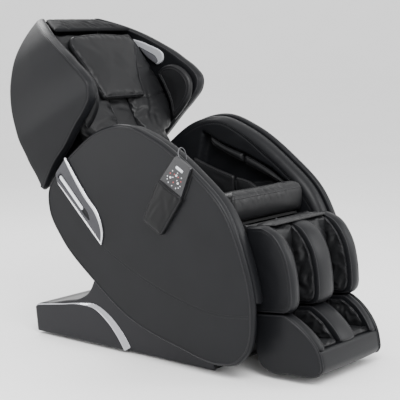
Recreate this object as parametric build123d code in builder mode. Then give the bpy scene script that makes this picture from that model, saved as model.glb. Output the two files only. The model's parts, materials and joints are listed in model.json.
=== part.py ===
from build123d import *
from math import asin, cos, degrees, pi, radians, sin, tan
import os

# Massage chair: a floor base, a seat body that slides on it, a reclining back with a hood,
# a lifting leg rest and an extending foot rest.
# Millimetres, +Z up. The sitter faces -Y, so the sitter's left is +X.
# The origin is on the floor, under the middle of the chair.

os.makedirs("parts", exist_ok=True)

# ---- driving dimensions -------------------------------------------------------------------
PANEL_OUT = 340            # half the width over the side panels
PANEL_IN = 308             # inner face of the side panels
ARM_IN = 240               # inner face of the arms
ARM_OUT = 307
LEG_HALF = 236             # half the width of the leg rest and the foot rest
DIVIDER_HALF = 50          # half the width of the wall between the two legs
WALL_IN = 180              # inner face of the outer leg walls
FRAME_IN, FRAME_OUT = 200, 212     # steel side plates of the seat
BACK_IN, BACK_OUT = 186, 196       # steel side rails of the back
BACK_TILT = 29             # degrees from upright, at rest
BACK_PIVOT = (190, 420)    # (y, z) of the recline hinge
BACK_PIN_R = 12
LEG_TOP = (-402, 546)      # (y, z) of the leg rest's top rear edge
LEG_TILT = 7.3             # degrees from upright, at rest
LEG_PIVOT = (-380, 535)    # (y, z) of the leg rest's hinge
LEG_PIN_R = 10
RUNNING = 0.05             # radial clearance of a running fit
GAP = 0.3                  # clearance between moving neighbours
DRUM_R = 140               # outer radius of the back's closing drum round the hinge
STRIP = 8                  # height of the rubber floor strips
RAIL_TOP = 262
COVER_TOP = 268            # top of the base covers
ROD_R = 9                  # both actuator rods
ROD_PIN_R = 6
HANDSET_TILT = 30          # degrees the handset leans from upright, along the arm

SIDES = (("left", 1), ("right", -1))

# ---- planes -------------------------------------------------------------------------------
# Back plane: local x runs up the back, local y runs forward out of it.
up_back = (0, sin(radians(BACK_TILT)), cos(radians(BACK_TILT)))
# Leg plane: local x runs down the shin, local y runs backward.
down_leg = (0, -sin(radians(LEG_TILT)), -cos(radians(LEG_TILT)))
# Handset plane: local x runs rearward across it, local y runs up it.
across_handset = (0, cos(radians(HANDSET_TILT)), sin(radians(HANDSET_TILT)))
HANDSET_FOOT = (-58, 524)  # (y, z) of the pouch's lowest middle point


def back_plane(x=0):
    return Plane(origin=(x, *BACK_PIVOT), x_dir=up_back, z_dir=(1, 0, 0))


def leg_plane(x=0):
    return Plane(origin=(x, *LEG_TOP), x_dir=down_leg, z_dir=(1, 0, 0))


def handset_plane(x=0):
    return Plane(origin=(x, *HANDSET_FOOT), x_dir=across_handset, z_dir=(1, 0, 0))


def first_x(sign, inner, outer):
    """Where a slab between |x| = inner and outer starts, so that it grows towards +X."""
    return inner if sign > 0 else -outer


def save(builder, name):
    builder.part.label = name
    export_step(builder.part, f"parts/{name}.step")


# ---- base ---------------------------------------------------------------------------------
BASE_FRONT = -318
TUBE_IN, TUBE_OUT = 210, 258
TUBE_TOP = 38
CROSS_Y = (-250, 360, 560)
POST_Y = (-150, 240)
WHEEL_Y, WHEEL_Z, WHEEL_R = 598, 28, 25

with BuildPart() as floor_strips:
    with BuildSketch(Plane.XY):
        with Locations((234, 140), (-234, 140)):
            Rectangle(44, 850)
    extrude(amount=STRIP)
    with BuildSketch(Plane.XY):
        with Locations((0, -265)):
            Rectangle(424, 40)
    extrude(amount=STRIP)
save(floor_strips, "floor_strips")

with BuildPart() as base_frame:
    with BuildSketch(Plane.XY.offset(STRIP)):
        with Locations((234, 135), (-234, 135)):
            Rectangle(TUBE_OUT - TUBE_IN, 860)
        for y in CROSS_Y:
            with Locations((0, y)):
                Rectangle(2 * TUBE_IN, 40)
    extrude(amount=TUBE_TOP - STRIP)
    with BuildSketch(Plane.XY.offset(TUBE_TOP)):
        for y in POST_Y:
            with Locations((234, y), (-234, y)):
                Rectangle(36, 40)
    extrude(amount=RAIL_TOP - 26 - TUBE_TOP)
    for x in (-206, 200):
        with BuildSketch(Plane.YZ.offset(x)):
            with Locations((WHEEL_Y - 13, WHEEL_Z)):
                Rectangle(42, 32)
            with Locations((WHEEL_Y, WHEEL_Z)):
                Circle(6 + RUNNING, mode=Mode.SUBTRACT)
        extrude(amount=6)
save(base_frame, "base_frame")

with BuildPart() as slide_rails:
    with BuildSketch(Plane.XY.offset(RAIL_TOP - 26)):
        with Locations((228, 50), (-228, 50)):
            Rectangle(28, 500)
    extrude(amount=26)
save(slide_rails, "slide_rails")

# The covers' side outline, and the way their plan tapers towards the rear.
COVER_SLOPE = degrees(asin(30 / 950))
for side, sign in SIDES:
    lean = radians(COVER_SLOPE)
    plane = Plane(
        origin=(sign * 300, BASE_FRONT, 0),
        x_dir=(-sign * sin(lean), cos(lean), 0),
        z_dir=(cos(lean), sign * sin(lean), 0),
    )
    with BuildPart() as base_cover:
        with BuildSketch(plane):
            with BuildLine():
                Polyline((5, STRIP), (947, STRIP), (961, 115), (817, 150), (704, 180))
                ThreePointArc((704, 180), (658, 210), (628, 262))
                Polyline((628, 262), (620, COVER_TOP), (200, COVER_TOP), (60, 130), (0, 14), (5, STRIP))
            make_face()
        extrude(amount=-sign * 7)
    save(base_cover, f"base_cover_{side}")

with BuildPart() as base_rear_cover:
    with BuildSketch(Plane.YZ.offset(-260)):
        with BuildLine():
            Polyline((629, STRIP), (643, 114), (499, 149), (388, 179))
            ThreePointArc((388, 179), (342, 208), (312, 260))
            offset(amount=5, side=Side.LEFT)
        make_face()
    extrude(amount=520)
    with BuildSketch(Plane.XZ.offset(-600)):
        with Locations((-110, 60)):
            Rectangle(76, 30)
    extrude(amount=-60, mode=Mode.SUBTRACT)
save(base_rear_cover, "base_rear_cover")

# Mains inlet module with its rocker switch, in the rear cover.
SWITCH_X, SWITCH_Z, SWITCH_Y = -88, 60, 633
with BuildPart() as power_inlet:
    with Locations((-110, 628, 60)):
        Box(75, 36, 29)
    with Locations((-110, 646.5, 60)):
        Box(84, 3, 38)
    with Locations((-125, 641, 60)):
        Box(26, 18, 20, mode=Mode.SUBTRACT)
    with Locations((SWITCH_X, 638, SWITCH_Z)):
        Box(15, 26, 24, mode=Mode.SUBTRACT)
    with GridLocations(8, 0, 3, 1):
        with Locations((-125, 638, 60)):
            Box(2, 12, 6)
save(power_inlet, "power_inlet")

with BuildPart() as power_switch:
    with BuildSketch(Plane.YZ.offset(SWITCH_X - 6.7)):
        with BuildLine():
            Polyline((SWITCH_Y - 5, 51), (SWITCH_Y - 5, 69), (SWITCH_Y + 12, 70))
            ThreePointArc((SWITCH_Y + 12, 70), (SWITCH_Y + 9, 60), (SWITCH_Y + 15, 51))
            Line((SWITCH_Y + 15, 51), (SWITCH_Y - 5, 51))
        make_face()
    extrude(amount=13.4)
save(power_switch, "power_switch")

with BuildPart() as control_box:
    with Locations((40, 460, TUBE_TOP + 40)):
        Box(240, 150, 80)
    fillet(control_box.edges().filter_by(Axis.Z), 8)
    with Locations((40, 460, TUBE_TOP + 80)):
        with GridLocations(20, 0, 9, 1):
            Box(6, 110, 6)
save(control_box, "control_box")

with BuildPart() as transport_wheels:
    with BuildSketch(Plane.YZ.offset(-250)):
        with Locations((WHEEL_Y, WHEEL_Z)):
            Circle(6)
    extrude(amount=500)
    for x in (-244, 220):
        with BuildSketch(Plane.YZ.offset(x)):
            with Locations((WHEEL_Y, WHEEL_Z)):
                Circle(WHEEL_R)
        extrude(amount=24)
save(transport_wheels, "transport_wheels")

# ---- seat body ----------------------------------------------------------------------------
# The side outline that the panels and the arms share: round the front and the bottom.
BODY_EDGE = [
    (357, 787), (226, 875), (83, 904), (-55, 863), (-248, 745), (-375, 635), (-466, 460),
    (-513, 263), (-490, 110), (-435, 57), (-370, 43), (-174, 75), (78, 154), (258, 275),
    (428, 424), (496, 535), (501, 613),
]
BODY_REAR = (440, 708)     # on the arc that closes the outline under the hood
BODY_MIDDLE = Vector(0, 470)
ARM_INSET = 8              # the arms' outline stands this far inside the panels'


def body_outline(inset=0):
    """The side outline, drawn in towards its middle by the inset."""
    def drawn_in(point):
        outward = Vector(*point) - BODY_MIDDLE
        return BODY_MIDDLE + outward * (1 - inset / outward.length)

    with BuildSketch() as outline:
        with BuildLine():
            edge = Spline(*[drawn_in(point) for point in BODY_EDGE])
            ThreePointArc(edge @ 1, drawn_in(BODY_REAR), edge @ 0)
        make_face()
    return outline.sketch_local


body_side = body_outline()
arm_side = body_outline(ARM_INSET)

# Forearm recess in the arm's inner face.
RECESS = [
    (165, 838), (62, 790), (-55, 756), (-180, 708), (-277, 646), (-325, 596),
    (-300, 566), (-149, 624), (-14, 604), (89, 628), (200, 668),
]
RECESS_DEPTH = 45
ARM_BOTTOM = 285

with BuildPart() as seat_frame:
    for x in (-FRAME_OUT, FRAME_IN):
        with BuildSketch(Plane.YZ.offset(x)):
            with BuildLine():
                Polyline(
                    (-280, 285), (170, 285), (180, 268), (260, 268), (262, 300), (238, 430),
                    (215, 446), (120, 452), (-330, 538),
                    (-380, 551), (-380, 519), (-330, 470), (-280, 285),
                )
            make_face()
            with Locations(LEG_PIVOT):
                Circle(16)
                Circle(LEG_PIN_R + RUNNING, mode=Mode.SUBTRACT)
            with Locations(BACK_PIVOT):
                Circle(28)
                Circle(BACK_PIN_R + RUNNING, mode=Mode.SUBTRACT)
        extrude(amount=FRAME_OUT - FRAME_IN)
    for y, z in ((-280, 490), (-250, 294), (10, 294)):
        with Locations((0, y, z)):
            Box(2 * FRAME_IN, 30, 30)
    for x in (-226, 226):
        with Locations((x, -150, 274), (x, 180, 274)):
            Box(28, 90, 23)
save(seat_frame, "seat_frame")

with BuildPart() as seat_pan:
    with BuildSketch(Plane.YZ.offset(-FRAME_OUT)):
        with BuildLine():
            Polyline((-330, 539), (118, 453), (120, 462), (-328, 548), (-330, 539))
        make_face()
    extrude(amount=2 * FRAME_OUT)
save(seat_pan, "seat_pan")

with BuildPart() as seat_cushion:
    with BuildSketch(Plane.YZ.offset(-213)):
        with BuildLine():
            Polyline((-300, 660), (122, 545), (122, 464), (-330, 550), (-346, 562), (-350, 600))
            ThreePointArc((-350, 600), (-338, 648), (-300, 660))
        make_face()
    extrude(amount=426)
    with BuildSketch(Plane.YZ.offset(-234)):
        with BuildLine():
            Polyline((-300, 658), (-300, 562), (-345, 563), (-348, 600))
            ThreePointArc((-348, 600), (-336, 646), (-300, 658))
        make_face()
    extrude(amount=468)
save(seat_cushion, "seat_cushion")

with BuildPart() as seat_front_cover:
    with Locations((0, -342, 400)):
        Box(396, 4, 200)
    with Locations((0, -342, 458)):
        Box(70, 4, 114, mode=Mode.SUBTRACT)
save(seat_front_cover, "seat_front_cover")

with BuildPart() as seat_rear_cover:
    round_hinge = Plane(origin=(-FRAME_IN, *BACK_PIVOT), x_dir=(0, 1, 0), z_dir=(1, 0, 0))
    with BuildSketch(round_hinge):
        with BuildLine():
            lower = CenterArc((0, 0), DRUM_R + 9, -88, 24)
            upper = CenterArc((0, 0), DRUM_R + 4, -88, 24)
            Line(lower @ 0, upper @ 0)
            Line(lower @ 1, upper @ 1)
        make_face()
    extrude(amount=2 * FRAME_IN)
save(seat_rear_cover, "seat_rear_cover")

# Silver trim blade on each side panel, with a light bar in its slot.
TRIM_FRONT = [(392, 760), (282, 621), (220, 552), (196, 480), (205, 428)]
TRIM_THICK = 4
for side, sign in SIDES:
    with BuildPart() as side_panel:
        with BuildSketch(Plane.YZ.offset(first_x(sign, PANEL_IN, PANEL_OUT))):
            add(body_side)
        extrude(amount=PANEL_OUT - PANEL_IN)
        outer_face = side_panel.faces().sort_by(Axis.X)[-1 if sign > 0 else 0]
        fillet(outer_face.edges(), 12)
    save(side_panel, f"side_panel_{side}")

    with BuildPart() as arm:
        with BuildSketch(Plane.YZ.offset(first_x(sign, ARM_IN, ARM_OUT))):
            add(arm_side)
            with Locations((0, ARM_BOTTOM - 200)):
                Rectangle(1200, 400, mode=Mode.SUBTRACT)
        extrude(amount=ARM_OUT - ARM_IN)
        with BuildSketch(Plane.YZ.offset(first_x(sign, ARM_IN, ARM_IN + RECESS_DEPTH))):
            with BuildLine():
                Polyline(*RECESS, close=True)
            make_face()
        extrude(amount=RECESS_DEPTH, mode=Mode.SUBTRACT)
    save(arm, f"arm_{side}")

    with BuildPart() as grille:
        with BuildSketch(Plane.YZ.offset(first_x(sign, PANEL_OUT, PANEL_OUT + TRIM_THICK))):
            with BuildLine():
                Spline(*TRIM_FRONT)
                Polyline(TRIM_FRONT[-1], (440, 655), (450, 690), TRIM_FRONT[0])
            make_face()
            with BuildLine():
                Polyline((418, 690), (275, 545), (268, 520), (300, 545), (436, 678), close=True)
            make_face(mode=Mode.SUBTRACT)
        extrude(amount=TRIM_THICK)
    save(grille, f"grille_{side}")

with BuildPart() as light_bars:
    for side, sign in SIDES:
        with BuildSketch(Plane.YZ.offset(first_x(sign, PANEL_OUT, PANEL_OUT + 3))):
            with BuildLine():
                Polyline((414, 682), (300, 566), (308, 556), (424, 674), close=True)
            make_face()
        extrude(amount=3)
save(light_bars, "light_bars")

with BuildPart() as arm_pads:
    for side, sign in SIDES:
        with BuildSketch(Plane.YZ.offset(first_x(sign, ARM_IN, ARM_IN + RECESS_DEPTH - 1))):
            with BuildLine():
                Spline((130, 815), (62, 784), (-50, 748), (-151, 708), (-258, 646))
                Spline((-258, 646), (-240, 634), (-136, 680), (-50, 706), (62, 752), (130, 815))
            make_face()
        extrude(amount=RECESS_DEPTH - 1)
save(arm_pads, "arm_pads")

with BuildPart() as hip_pads:
    for side, sign in SIDES:
        with BuildSketch(Plane.YZ.offset(first_x(sign, 216, ARM_IN - 0.5))):
            with BuildLine():
                Spline((200, 722), (97, 688), (-8, 660), (-96, 640), (-156, 604), (-270, 560))
                Polyline((-270, 560), (-262, 548), (120, 475), (175, 500), (200, 722))
            make_face()
        extrude(amount=ARM_IN - 0.5 - 216)
save(hip_pads, "hip_pads")

# ---- handset in its pouch, on the outside of the right arm ---------------------------------
POUCH_OUT = 358
POUCH_OPEN = 186           # height of the pouch's mouth above its foot
HANDSET_IN, HANDSET_OUT = 343.5, 355.5
HANDSET_TOP = 302
KEY_R = 4.5
KEYS = {"power": (0, 241), "up": (-20, 220), "down": (20, 220)}

with BuildPart() as remote_pouch:
    with BuildSketch(handset_plane(-POUCH_OUT)):
        with BuildLine():
            Polyline((-54, 0), (54, 0), (67, POUCH_OPEN), (-67, POUCH_OPEN), close=True)
        make_face()
    extrude(amount=POUCH_OUT - PANEL_OUT - 0.2)
    fillet(remote_pouch.edges().filter_by(Axis.X), 10)
    with BuildSketch(handset_plane(-HANDSET_OUT - 0.5)):
        with BuildLine():
            Polyline((-48, 40), (48, 40), (63, POUCH_OPEN + 30), (-63, POUCH_OPEN + 30), close=True)
        make_face()
    extrude(amount=HANDSET_OUT - HANDSET_IN + 1, mode=Mode.SUBTRACT)
save(remote_pouch, "remote_pouch")

with BuildPart() as handset:
    with BuildSketch(handset_plane(-HANDSET_OUT)):
        with BuildLine():
            Polyline((-44, 50), (44, 50), (58, 178), (40, HANDSET_TOP), (-40, HANDSET_TOP),
                     (-58, 178), close=True)
        make_face()
        fillet(vertices().group_by(Axis.Y)[-1], 10)
    extrude(amount=HANDSET_OUT - HANDSET_IN)
    with BuildSketch(handset_plane(-HANDSET_OUT)):
        with Locations(*KEYS.values()):
            Circle(KEY_R + GAP)
    extrude(amount=5, mode=Mode.SUBTRACT)
save(handset, "handset")

for name, (across, height) in KEYS.items():
    with BuildPart() as key:
        with BuildSketch(handset_plane(-HANDSET_OUT - 1.5)):
            with Locations((across, height)):
                Circle(KEY_R)
        extrude(amount=4.5)
    save(key, f"handset_{name}_key")

# Handset cord: out of the handset's top, over the arm's edge, and down into the arm's top.
CORD_D = 4
CORD_ROUTE = [
    (-349.5, -187, 797), (-350, -181, 814), (-340, -177, 829), (-322, -175, 834),
    (-306, -176, 824), (-299, -178, 805), (-298, -180, 784),
]
route = [Vector(*point) for point in CORD_ROUTE]
runs = [b - a for a, b in zip(route, route[1:])]
turns = [a.get_angle(b) for a, b in zip(runs, runs[1:])]
radii = [
    0.45 * min(a.length, b.length) / tan(radians(turn) / 2)
    for a, b, turn in zip(runs, runs[1:], turns)
]
print("cord bend radii:", [round(r, 1) for r in radii], "turns:", [round(t) for t in turns])
with BuildPart() as handset_cord:
    with BuildLine() as cord_path:
        FilletPolyline(*route, radius=radii)
    with BuildSketch(Plane(origin=route[0], z_dir=runs[0])):
        Circle(CORD_D / 2)
    sweep()
cord_length = cord_path.wires()[0].length
print("cord length", round(cord_length, 1), "volume ratio",
      round(handset_cord.part.volume / (cord_length * pi * CORD_D**2 / 4), 4))
save(handset_cord, "handset_cord")

# ---- actuators ----------------------------------------------------------------------------
# Each pushes a slotted crank; the pin stands in the crank's slot with clearance.
BACK_ROD_Z, BACK_ROD_PIN_Y = 333, 224
LEG_ROD_Z, LEG_ROD_PIN_Y = 450, -316


def actuator(y_closed, y_open, z):
    """A motor housing and outer tube, bored for its rod, from its closed to its open end."""
    step = 1 if y_open > y_closed else -1
    with BuildPart() as body:
        with BuildSketch(Plane(origin=(0, y_closed, z), z_dir=(0, step, 0))):
            Circle(23)
        extrude(amount=abs(y_open - y_closed))
        with BuildSketch(Plane(origin=(0, y_open, z), z_dir=(0, -step, 0))):
            Circle(ROD_R + RUNNING)
        extrude(amount=abs(y_open - y_closed) - 20, mode=Mode.SUBTRACT)
        with Locations((45, y_closed + step * 35, z)):
            Box(60, 50, 40)
    return body


def actuator_rod(y_end, y_pin, z):
    """The rod with its cross pin, from the end inside the tube to the pin."""
    step = 1 if y_pin > y_end else -1
    with BuildPart() as body:
        with BuildSketch(Plane(origin=(0, y_end, z), z_dir=(0, step, 0))):
            Circle(ROD_R)
        extrude(amount=abs(y_pin - y_end) + 8)
        with BuildSketch(Plane.YZ):
            with Locations((y_pin, z)):
                Circle(ROD_PIN_R)
        extrude(amount=26)
    return body


save(actuator(-190, 90, BACK_ROD_Z), "back_actuator")
save(actuator_rod(0, BACK_ROD_PIN_Y, BACK_ROD_Z), "back_actuator_rod")
save(actuator(-30, -280, LEG_ROD_Z), "leg_actuator")
save(actuator_rod(-60, LEG_ROD_PIN_Y, LEG_ROD_Z), "leg_actuator_rod")

# ---- back ---------------------------------------------------------------------------------
# All (up, forward) pairs below are in the back plane, measured from the recline hinge.
CUSHION_BACK, CUSHION_FRONT = 36, 85
SCREW_R = 8
SCREW_AT = -20             # forward place of the lift screw
CROSS_UP = (135, 865)
CARRIAGE_UP = 380
BACK_CRANK_TURN = 22.5     # degrees the crank points behind straight down, at rest

with BuildPart() as back_frame:
    for x in (-BACK_OUT, BACK_IN):
        with BuildSketch(back_plane(x)):
            with Locations((430, 0)):
                Rectangle(900, 60)
            Circle(30)
        extrude(amount=BACK_OUT - BACK_IN)
    for x in (-FRAME_OUT, BACK_OUT):
        with BuildSketch(back_plane(x)):
            Circle(BACK_PIN_R)
        extrude(amount=FRAME_OUT - BACK_OUT)
    with BuildSketch(back_plane(-BACK_IN)):
        Circle(16)
    extrude(amount=2 * BACK_IN)
    for up in CROSS_UP:
        with BuildSketch(back_plane(-BACK_IN)):
            with Locations((up, -12)):
                Rectangle(24, 36)
        extrude(amount=2 * BACK_IN)
    crank = Plane(
        origin=(12, *BACK_PIVOT),
        x_dir=(0, sin(radians(BACK_CRANK_TURN)), -cos(radians(BACK_CRANK_TURN))),
        z_dir=(1, 0, 0),
    )
    with BuildSketch(crank):
        with Locations((55, 0)):
            Rectangle(110, 34)
        with Locations((90, 0)):
            SlotOverall(34, 17, mode=Mode.SUBTRACT)
    extrude(amount=10)
    with BuildSketch(Plane(origin=(0, *BACK_PIVOT), x_dir=(1, 0, 0), z_dir=up_back).offset(100)):
        with Locations((0, -SCREW_AT)):
            Circle(SCREW_R + RUNNING)
    extrude(amount=800, mode=Mode.SUBTRACT)
save(back_frame, "back_frame")

with BuildPart() as lift_screw:
    with BuildSketch(Plane(origin=(0, *BACK_PIVOT), x_dir=(1, 0, 0), z_dir=up_back).offset(118)):
        with Locations((0, -SCREW_AT)):
            Circle(SCREW_R)
    extrude(amount=765)
    with BuildSketch(Plane(origin=(0, *BACK_PIVOT), x_dir=(1, 0, 0), z_dir=up_back).offset(90)):
        with Locations((0, -SCREW_AT)):
            Circle(16)
    extrude(amount=28)
save(lift_screw, "lift_screw")

# Roller carriage: a plate on the screw with four arms that hold the two roller axles.
AXLE_UP = (CARRIAGE_UP - 45, CARRIAGE_UP + 45)
AXLE_AT = 12
with BuildPart() as roller_carriage:
    with BuildSketch(back_plane(-150)):
        with Locations((CARRIAGE_UP, -28)):
            Rectangle(110, 36)
    extrude(amount=300)
    with BuildSketch(back_plane(-BACK_IN + GAP)):
        with Locations((CARRIAGE_UP, -15)):
            Rectangle(30, 20)
    extrude(amount=2 * (BACK_IN - GAP))
    for x in (-102, -42, 36, 96):
        with BuildSketch(back_plane(x)):
            for up in AXLE_UP:
                with Locations((up, 4)):
                    Rectangle(20, 32)
            for up in AXLE_UP:
                with Locations((up, AXLE_AT)):
                    Circle(6 + RUNNING, mode=Mode.SUBTRACT)
        extrude(amount=6)
    with BuildSketch(back_plane(-60)):
        with Locations((CARRIAGE_UP, -62)):
            Rectangle(80, 36)
    extrude(amount=120)
    with BuildSketch(Plane(origin=(0, *BACK_PIVOT), x_dir=(1, 0, 0), z_dir=up_back).offset(300)):
        with Locations((0, -SCREW_AT)):
            Circle(SCREW_R + RUNNING)
    extrude(amount=160, mode=Mode.SUBTRACT)
save(roller_carriage, "roller_carriage")

for name, up in zip(("lower_rollers", "upper_rollers"), AXLE_UP):
    with BuildPart() as rollers:
        with BuildSketch(back_plane(-108)):
            with Locations((up, AXLE_AT)):
                Circle(6)
        extrude(amount=216)
        for x in (-92, 56):
            with BuildSketch(back_plane(x)):
                with Locations((up, AXLE_AT)):
                    Circle(21)
            extrude(amount=36)
            fillet(rollers.edges().filter_by(GeomType.CIRCLE).group_by(SortBy.RADIUS)[-1], 6)
    save(rollers, name)

# Back cushion: narrow between the arms, then widening to the hood's walls.
over_back = Plane(origin=(0, *BACK_PIVOT), x_dir=(1, 0, 0), z_dir=back_plane().y_dir)
CUSHION_EDGE = [(200, 62), (212, 300), (212, 432), (262, 456), (282, 490), (304, 560),
                (304, 620), (288, 720), (268, 800), (246, 860), (224, 898)]
with BuildPart() as back_cushion:
    with BuildSketch(over_back.offset(CUSHION_BACK)):
        with BuildLine():
            Polyline(*CUSHION_EDGE, *[(-x, up) for x, up in reversed(CUSHION_EDGE)], close=True)
        make_face()
    extrude(amount=CUSHION_FRONT - CUSHION_BACK)
    fillet(back_cushion.faces().sort_by(Axis((0, 0, 0), over_back.z_dir))[-1].edges(), 10)
save(back_cushion, "back_cushion")

# The hood's side walls bow out at the shoulders and lean in towards the top.
WING_IN, WING_OUT = 268, 318
WALL_FROM, WALL_TO = 120, 370      # |x| range that takes in every side wall
LEAN = [(340, 0), (410, 0), (480, -22), (560, -45), (620, -45), (720, -32), (800, -12),
        (860, 10), (920, 48), (970, 90), (1012, 135)]


def leaning_slab(sign, inner, outer):
    """A wall between |x| = inner and outer, bent by LEAN."""
    over = Plane(origin=(0, *BACK_PIVOT), x_dir=up_back, z_dir=back_plane().y_dir).offset(-400)
    near = [(up, -sign * (inner - by)) for up, by in LEAN]
    far = [(up, -sign * (outer - by)) for up, by in reversed(LEAN)]
    with BuildPart() as slab:
        with BuildSketch(over):
            with BuildLine():
                Polyline(*near, *far, close=True)
            make_face()
        extrude(amount=800)
    return slab.part


def between_walls():
    """The space between the two hood walls, with a little room left at each."""
    half = WING_IN - 1
    right = [(half - by, up) for up, by in LEAN]
    left = [(by - half, up) for up, by in reversed(LEAN)]
    with BuildPart() as room:
        with BuildSketch(over_back.offset(-400)):
            with BuildLine():
                Polyline(*right, *left, close=True)
            make_face()
        extrude(amount=800)
    return room.part


# Rear shell: a closing drum round the hinge, the narrow lower wall and the wide upper wall.
with BuildPart() as upper_wall:
    with BuildSketch(back_plane(-WALL_TO)):
        with BuildLine():
            Spline((345, -224), (436, -224), (519, -204), (603, -190), (688, -180),
                   (778, -158), (843, -131))
            Line((843, -131), (838, -121))
            Spline((838, -121), (774, -147), (686, -168), (602, -178), (518, -192),
                   (435, -212), (345, -212))
            Line((345, -212), (345, -224))
        make_face()
    extrude(amount=2 * WALL_TO)
    add(between_walls(), mode=Mode.INTERSECT)

DRUM_SPAN = 31
with BuildPart() as back_shell:
    with BuildSketch(back_plane(-BACK_OUT)):
        with BuildLine():
            outer_drum = CenterArc((0, 0), DRUM_R, -90, -DRUM_SPAN)
            Polyline((0, -DRUM_R), (200, -148), (350, -222), (350, -214), (203, -140),
                     (0, -DRUM_R + 8))
            inner_drum = CenterArc((0, 0), DRUM_R - 8, -90, -DRUM_SPAN)
            Line(outer_drum @ 1, inner_drum @ 1)
        make_face()
    extrude(amount=2 * BACK_OUT)
    add(upper_wall.part)
    for x in (-BACK_OUT, BACK_OUT - 10):
        with BuildSketch(back_plane(x)):
            with BuildLine():
                Polyline((240, -170), (345, -218), (436, -218), (519, -198), (603, -184),
                         (688, -174), (776, -153), (838, -126), (838, -31), (240, -31),
                         close=True)
            make_face()
        extrude(amount=10)
save(back_shell, "back_shell")

# Hood top: rises behind the pillow from the back cushion to the hood's edge, then turns down.
with BuildPart() as hood_top:
    with BuildSketch(back_plane(-WALL_TO)):
        with BuildLine():
            Spline((845, -134), (912, -101), (966, -56), (1005, -12))
            Polyline((1005, -12), (962, 28), (901, 86), (901, 66), (950, 12), (978, -16),
                     (940, -58), (890, -92), (840, -117), (845, -134))
        make_face()
    extrude(amount=2 * WALL_TO)
    add(between_walls(), mode=Mode.INTERSECT)
save(hood_top, "hood_top")

# Wings: leaf-shaped side covers of the hood.
WING_FRONT = [(353, -207), (406, -119), (443, -6), (483, 94), (510, 173), (537, 227),
              (579, 251), (639, 237), (689, 211), (737, 186), (790, 152), (843, 117),
              (914, 67), (1005, -12)]
WING_REAR = [(1005, -12), (969, -57), (914, -103), (843, -138), (778, -165), (688, -187),
             (603, -198), (519, -211), (436, -229), (348, -228)]
for side, sign in SIDES:
    with BuildPart() as wing:
        with BuildSketch(back_plane(first_x(sign, WALL_FROM, WALL_TO))):
            with BuildLine():
                Spline(*WING_FRONT)
                Spline(*WING_REAR)
                Line(WING_REAR[-1], WING_FRONT[0])
            make_face()
        extrude(amount=WALL_TO - WALL_FROM)
        add(leaning_slab(sign, WING_IN, WING_OUT), mode=Mode.INTERSECT)
    save(wing, f"wing_{side}")

    with BuildPart() as wing_pad:
        with BuildSketch(back_plane(first_x(sign, WALL_FROM, WALL_TO))):
            with BuildLine():
                Spline((462, 88), (486, 150), (524, 204), (580, 226), (640, 212), (680, 170),
                       (690, 130), (682, 88))
                Line((682, 88), (462, 88))
            make_face()
        extrude(amount=WALL_TO - WALL_FROM)
        add(leaning_slab(sign, 232, WING_IN - 0.5), mode=Mode.INTERSECT)
    save(wing_pad, f"wing_pad_{side}")

speaker_trims = Part()
for side, sign in SIDES:
    with BuildPart() as trim:
        with BuildSketch(back_plane(first_x(sign, WALL_FROM, WALL_TO))):
            with BuildLine():
                Spline((722, 96), (724, 138), (738, 150), (816, 110), (868, 60))
                Spline((868, 60), (829, 62), (767, 74), (722, 96))
            make_face()
        extrude(amount=WALL_TO - WALL_FROM)
        add(leaning_slab(sign, WING_IN - 7, WING_IN - 0.5), mode=Mode.INTERSECT)
    speaker_trims += trim.part
speaker_trims.label = "speaker_trims"
export_step(speaker_trims, "parts/speaker_trims.step")

# Headrest pillow: a flap that hangs from its top edge over the back cushion.
with BuildPart() as headrest_pillow:
    with BuildSketch(over_back.offset(CUSHION_FRONT + 1.3)):
        with BuildLine():
            Line((-127, 577), (127, 577))
            Spline((127, 577), (146, 650), (168, 727), (192, 790), (200, 828), (186, 858),
                   (120, 873), (0, 880), (-120, 873), (-186, 858), (-200, 828), (-192, 790),
                   (-168, 727), (-146, 650), (-127, 577))
        make_face()
    extrude(amount=25)
save(headrest_pillow, "headrest_pillow")

# ---- leg rest -----------------------------------------------------------------------------
# All (down, back) pairs below are in the leg plane, from the leg rest's top rear edge.
PIVOT_DOWN, PIVOT_BACK = 8.1, 23.2
COVER_THICK = 4
FRAME_DEEP = -38           # front of the space for the leg rest's frame
LINER_DEEP = -85           # front of the calf pads
GUIDE_X, GUIDE_AT = 150, -21
FOOT_ROD_R = 8
LEG_CRANK_TURN = 39        # degrees the crank points behind straight down, at rest

LEG_FRONT = [(2, -70), (30, -118), (91, -156), (200, -175), (272, -172)]

with BuildSketch() as calf_side:
    with BuildLine():
        Line((0, 0), LEG_FRONT[0])
        Spline(*LEG_FRONT)
        ThreePointArc(LEG_FRONT[-1], (303, -158), (312, -128))
        Polyline((312, -128), (309, 0), (0, 0))
    make_face()

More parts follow.
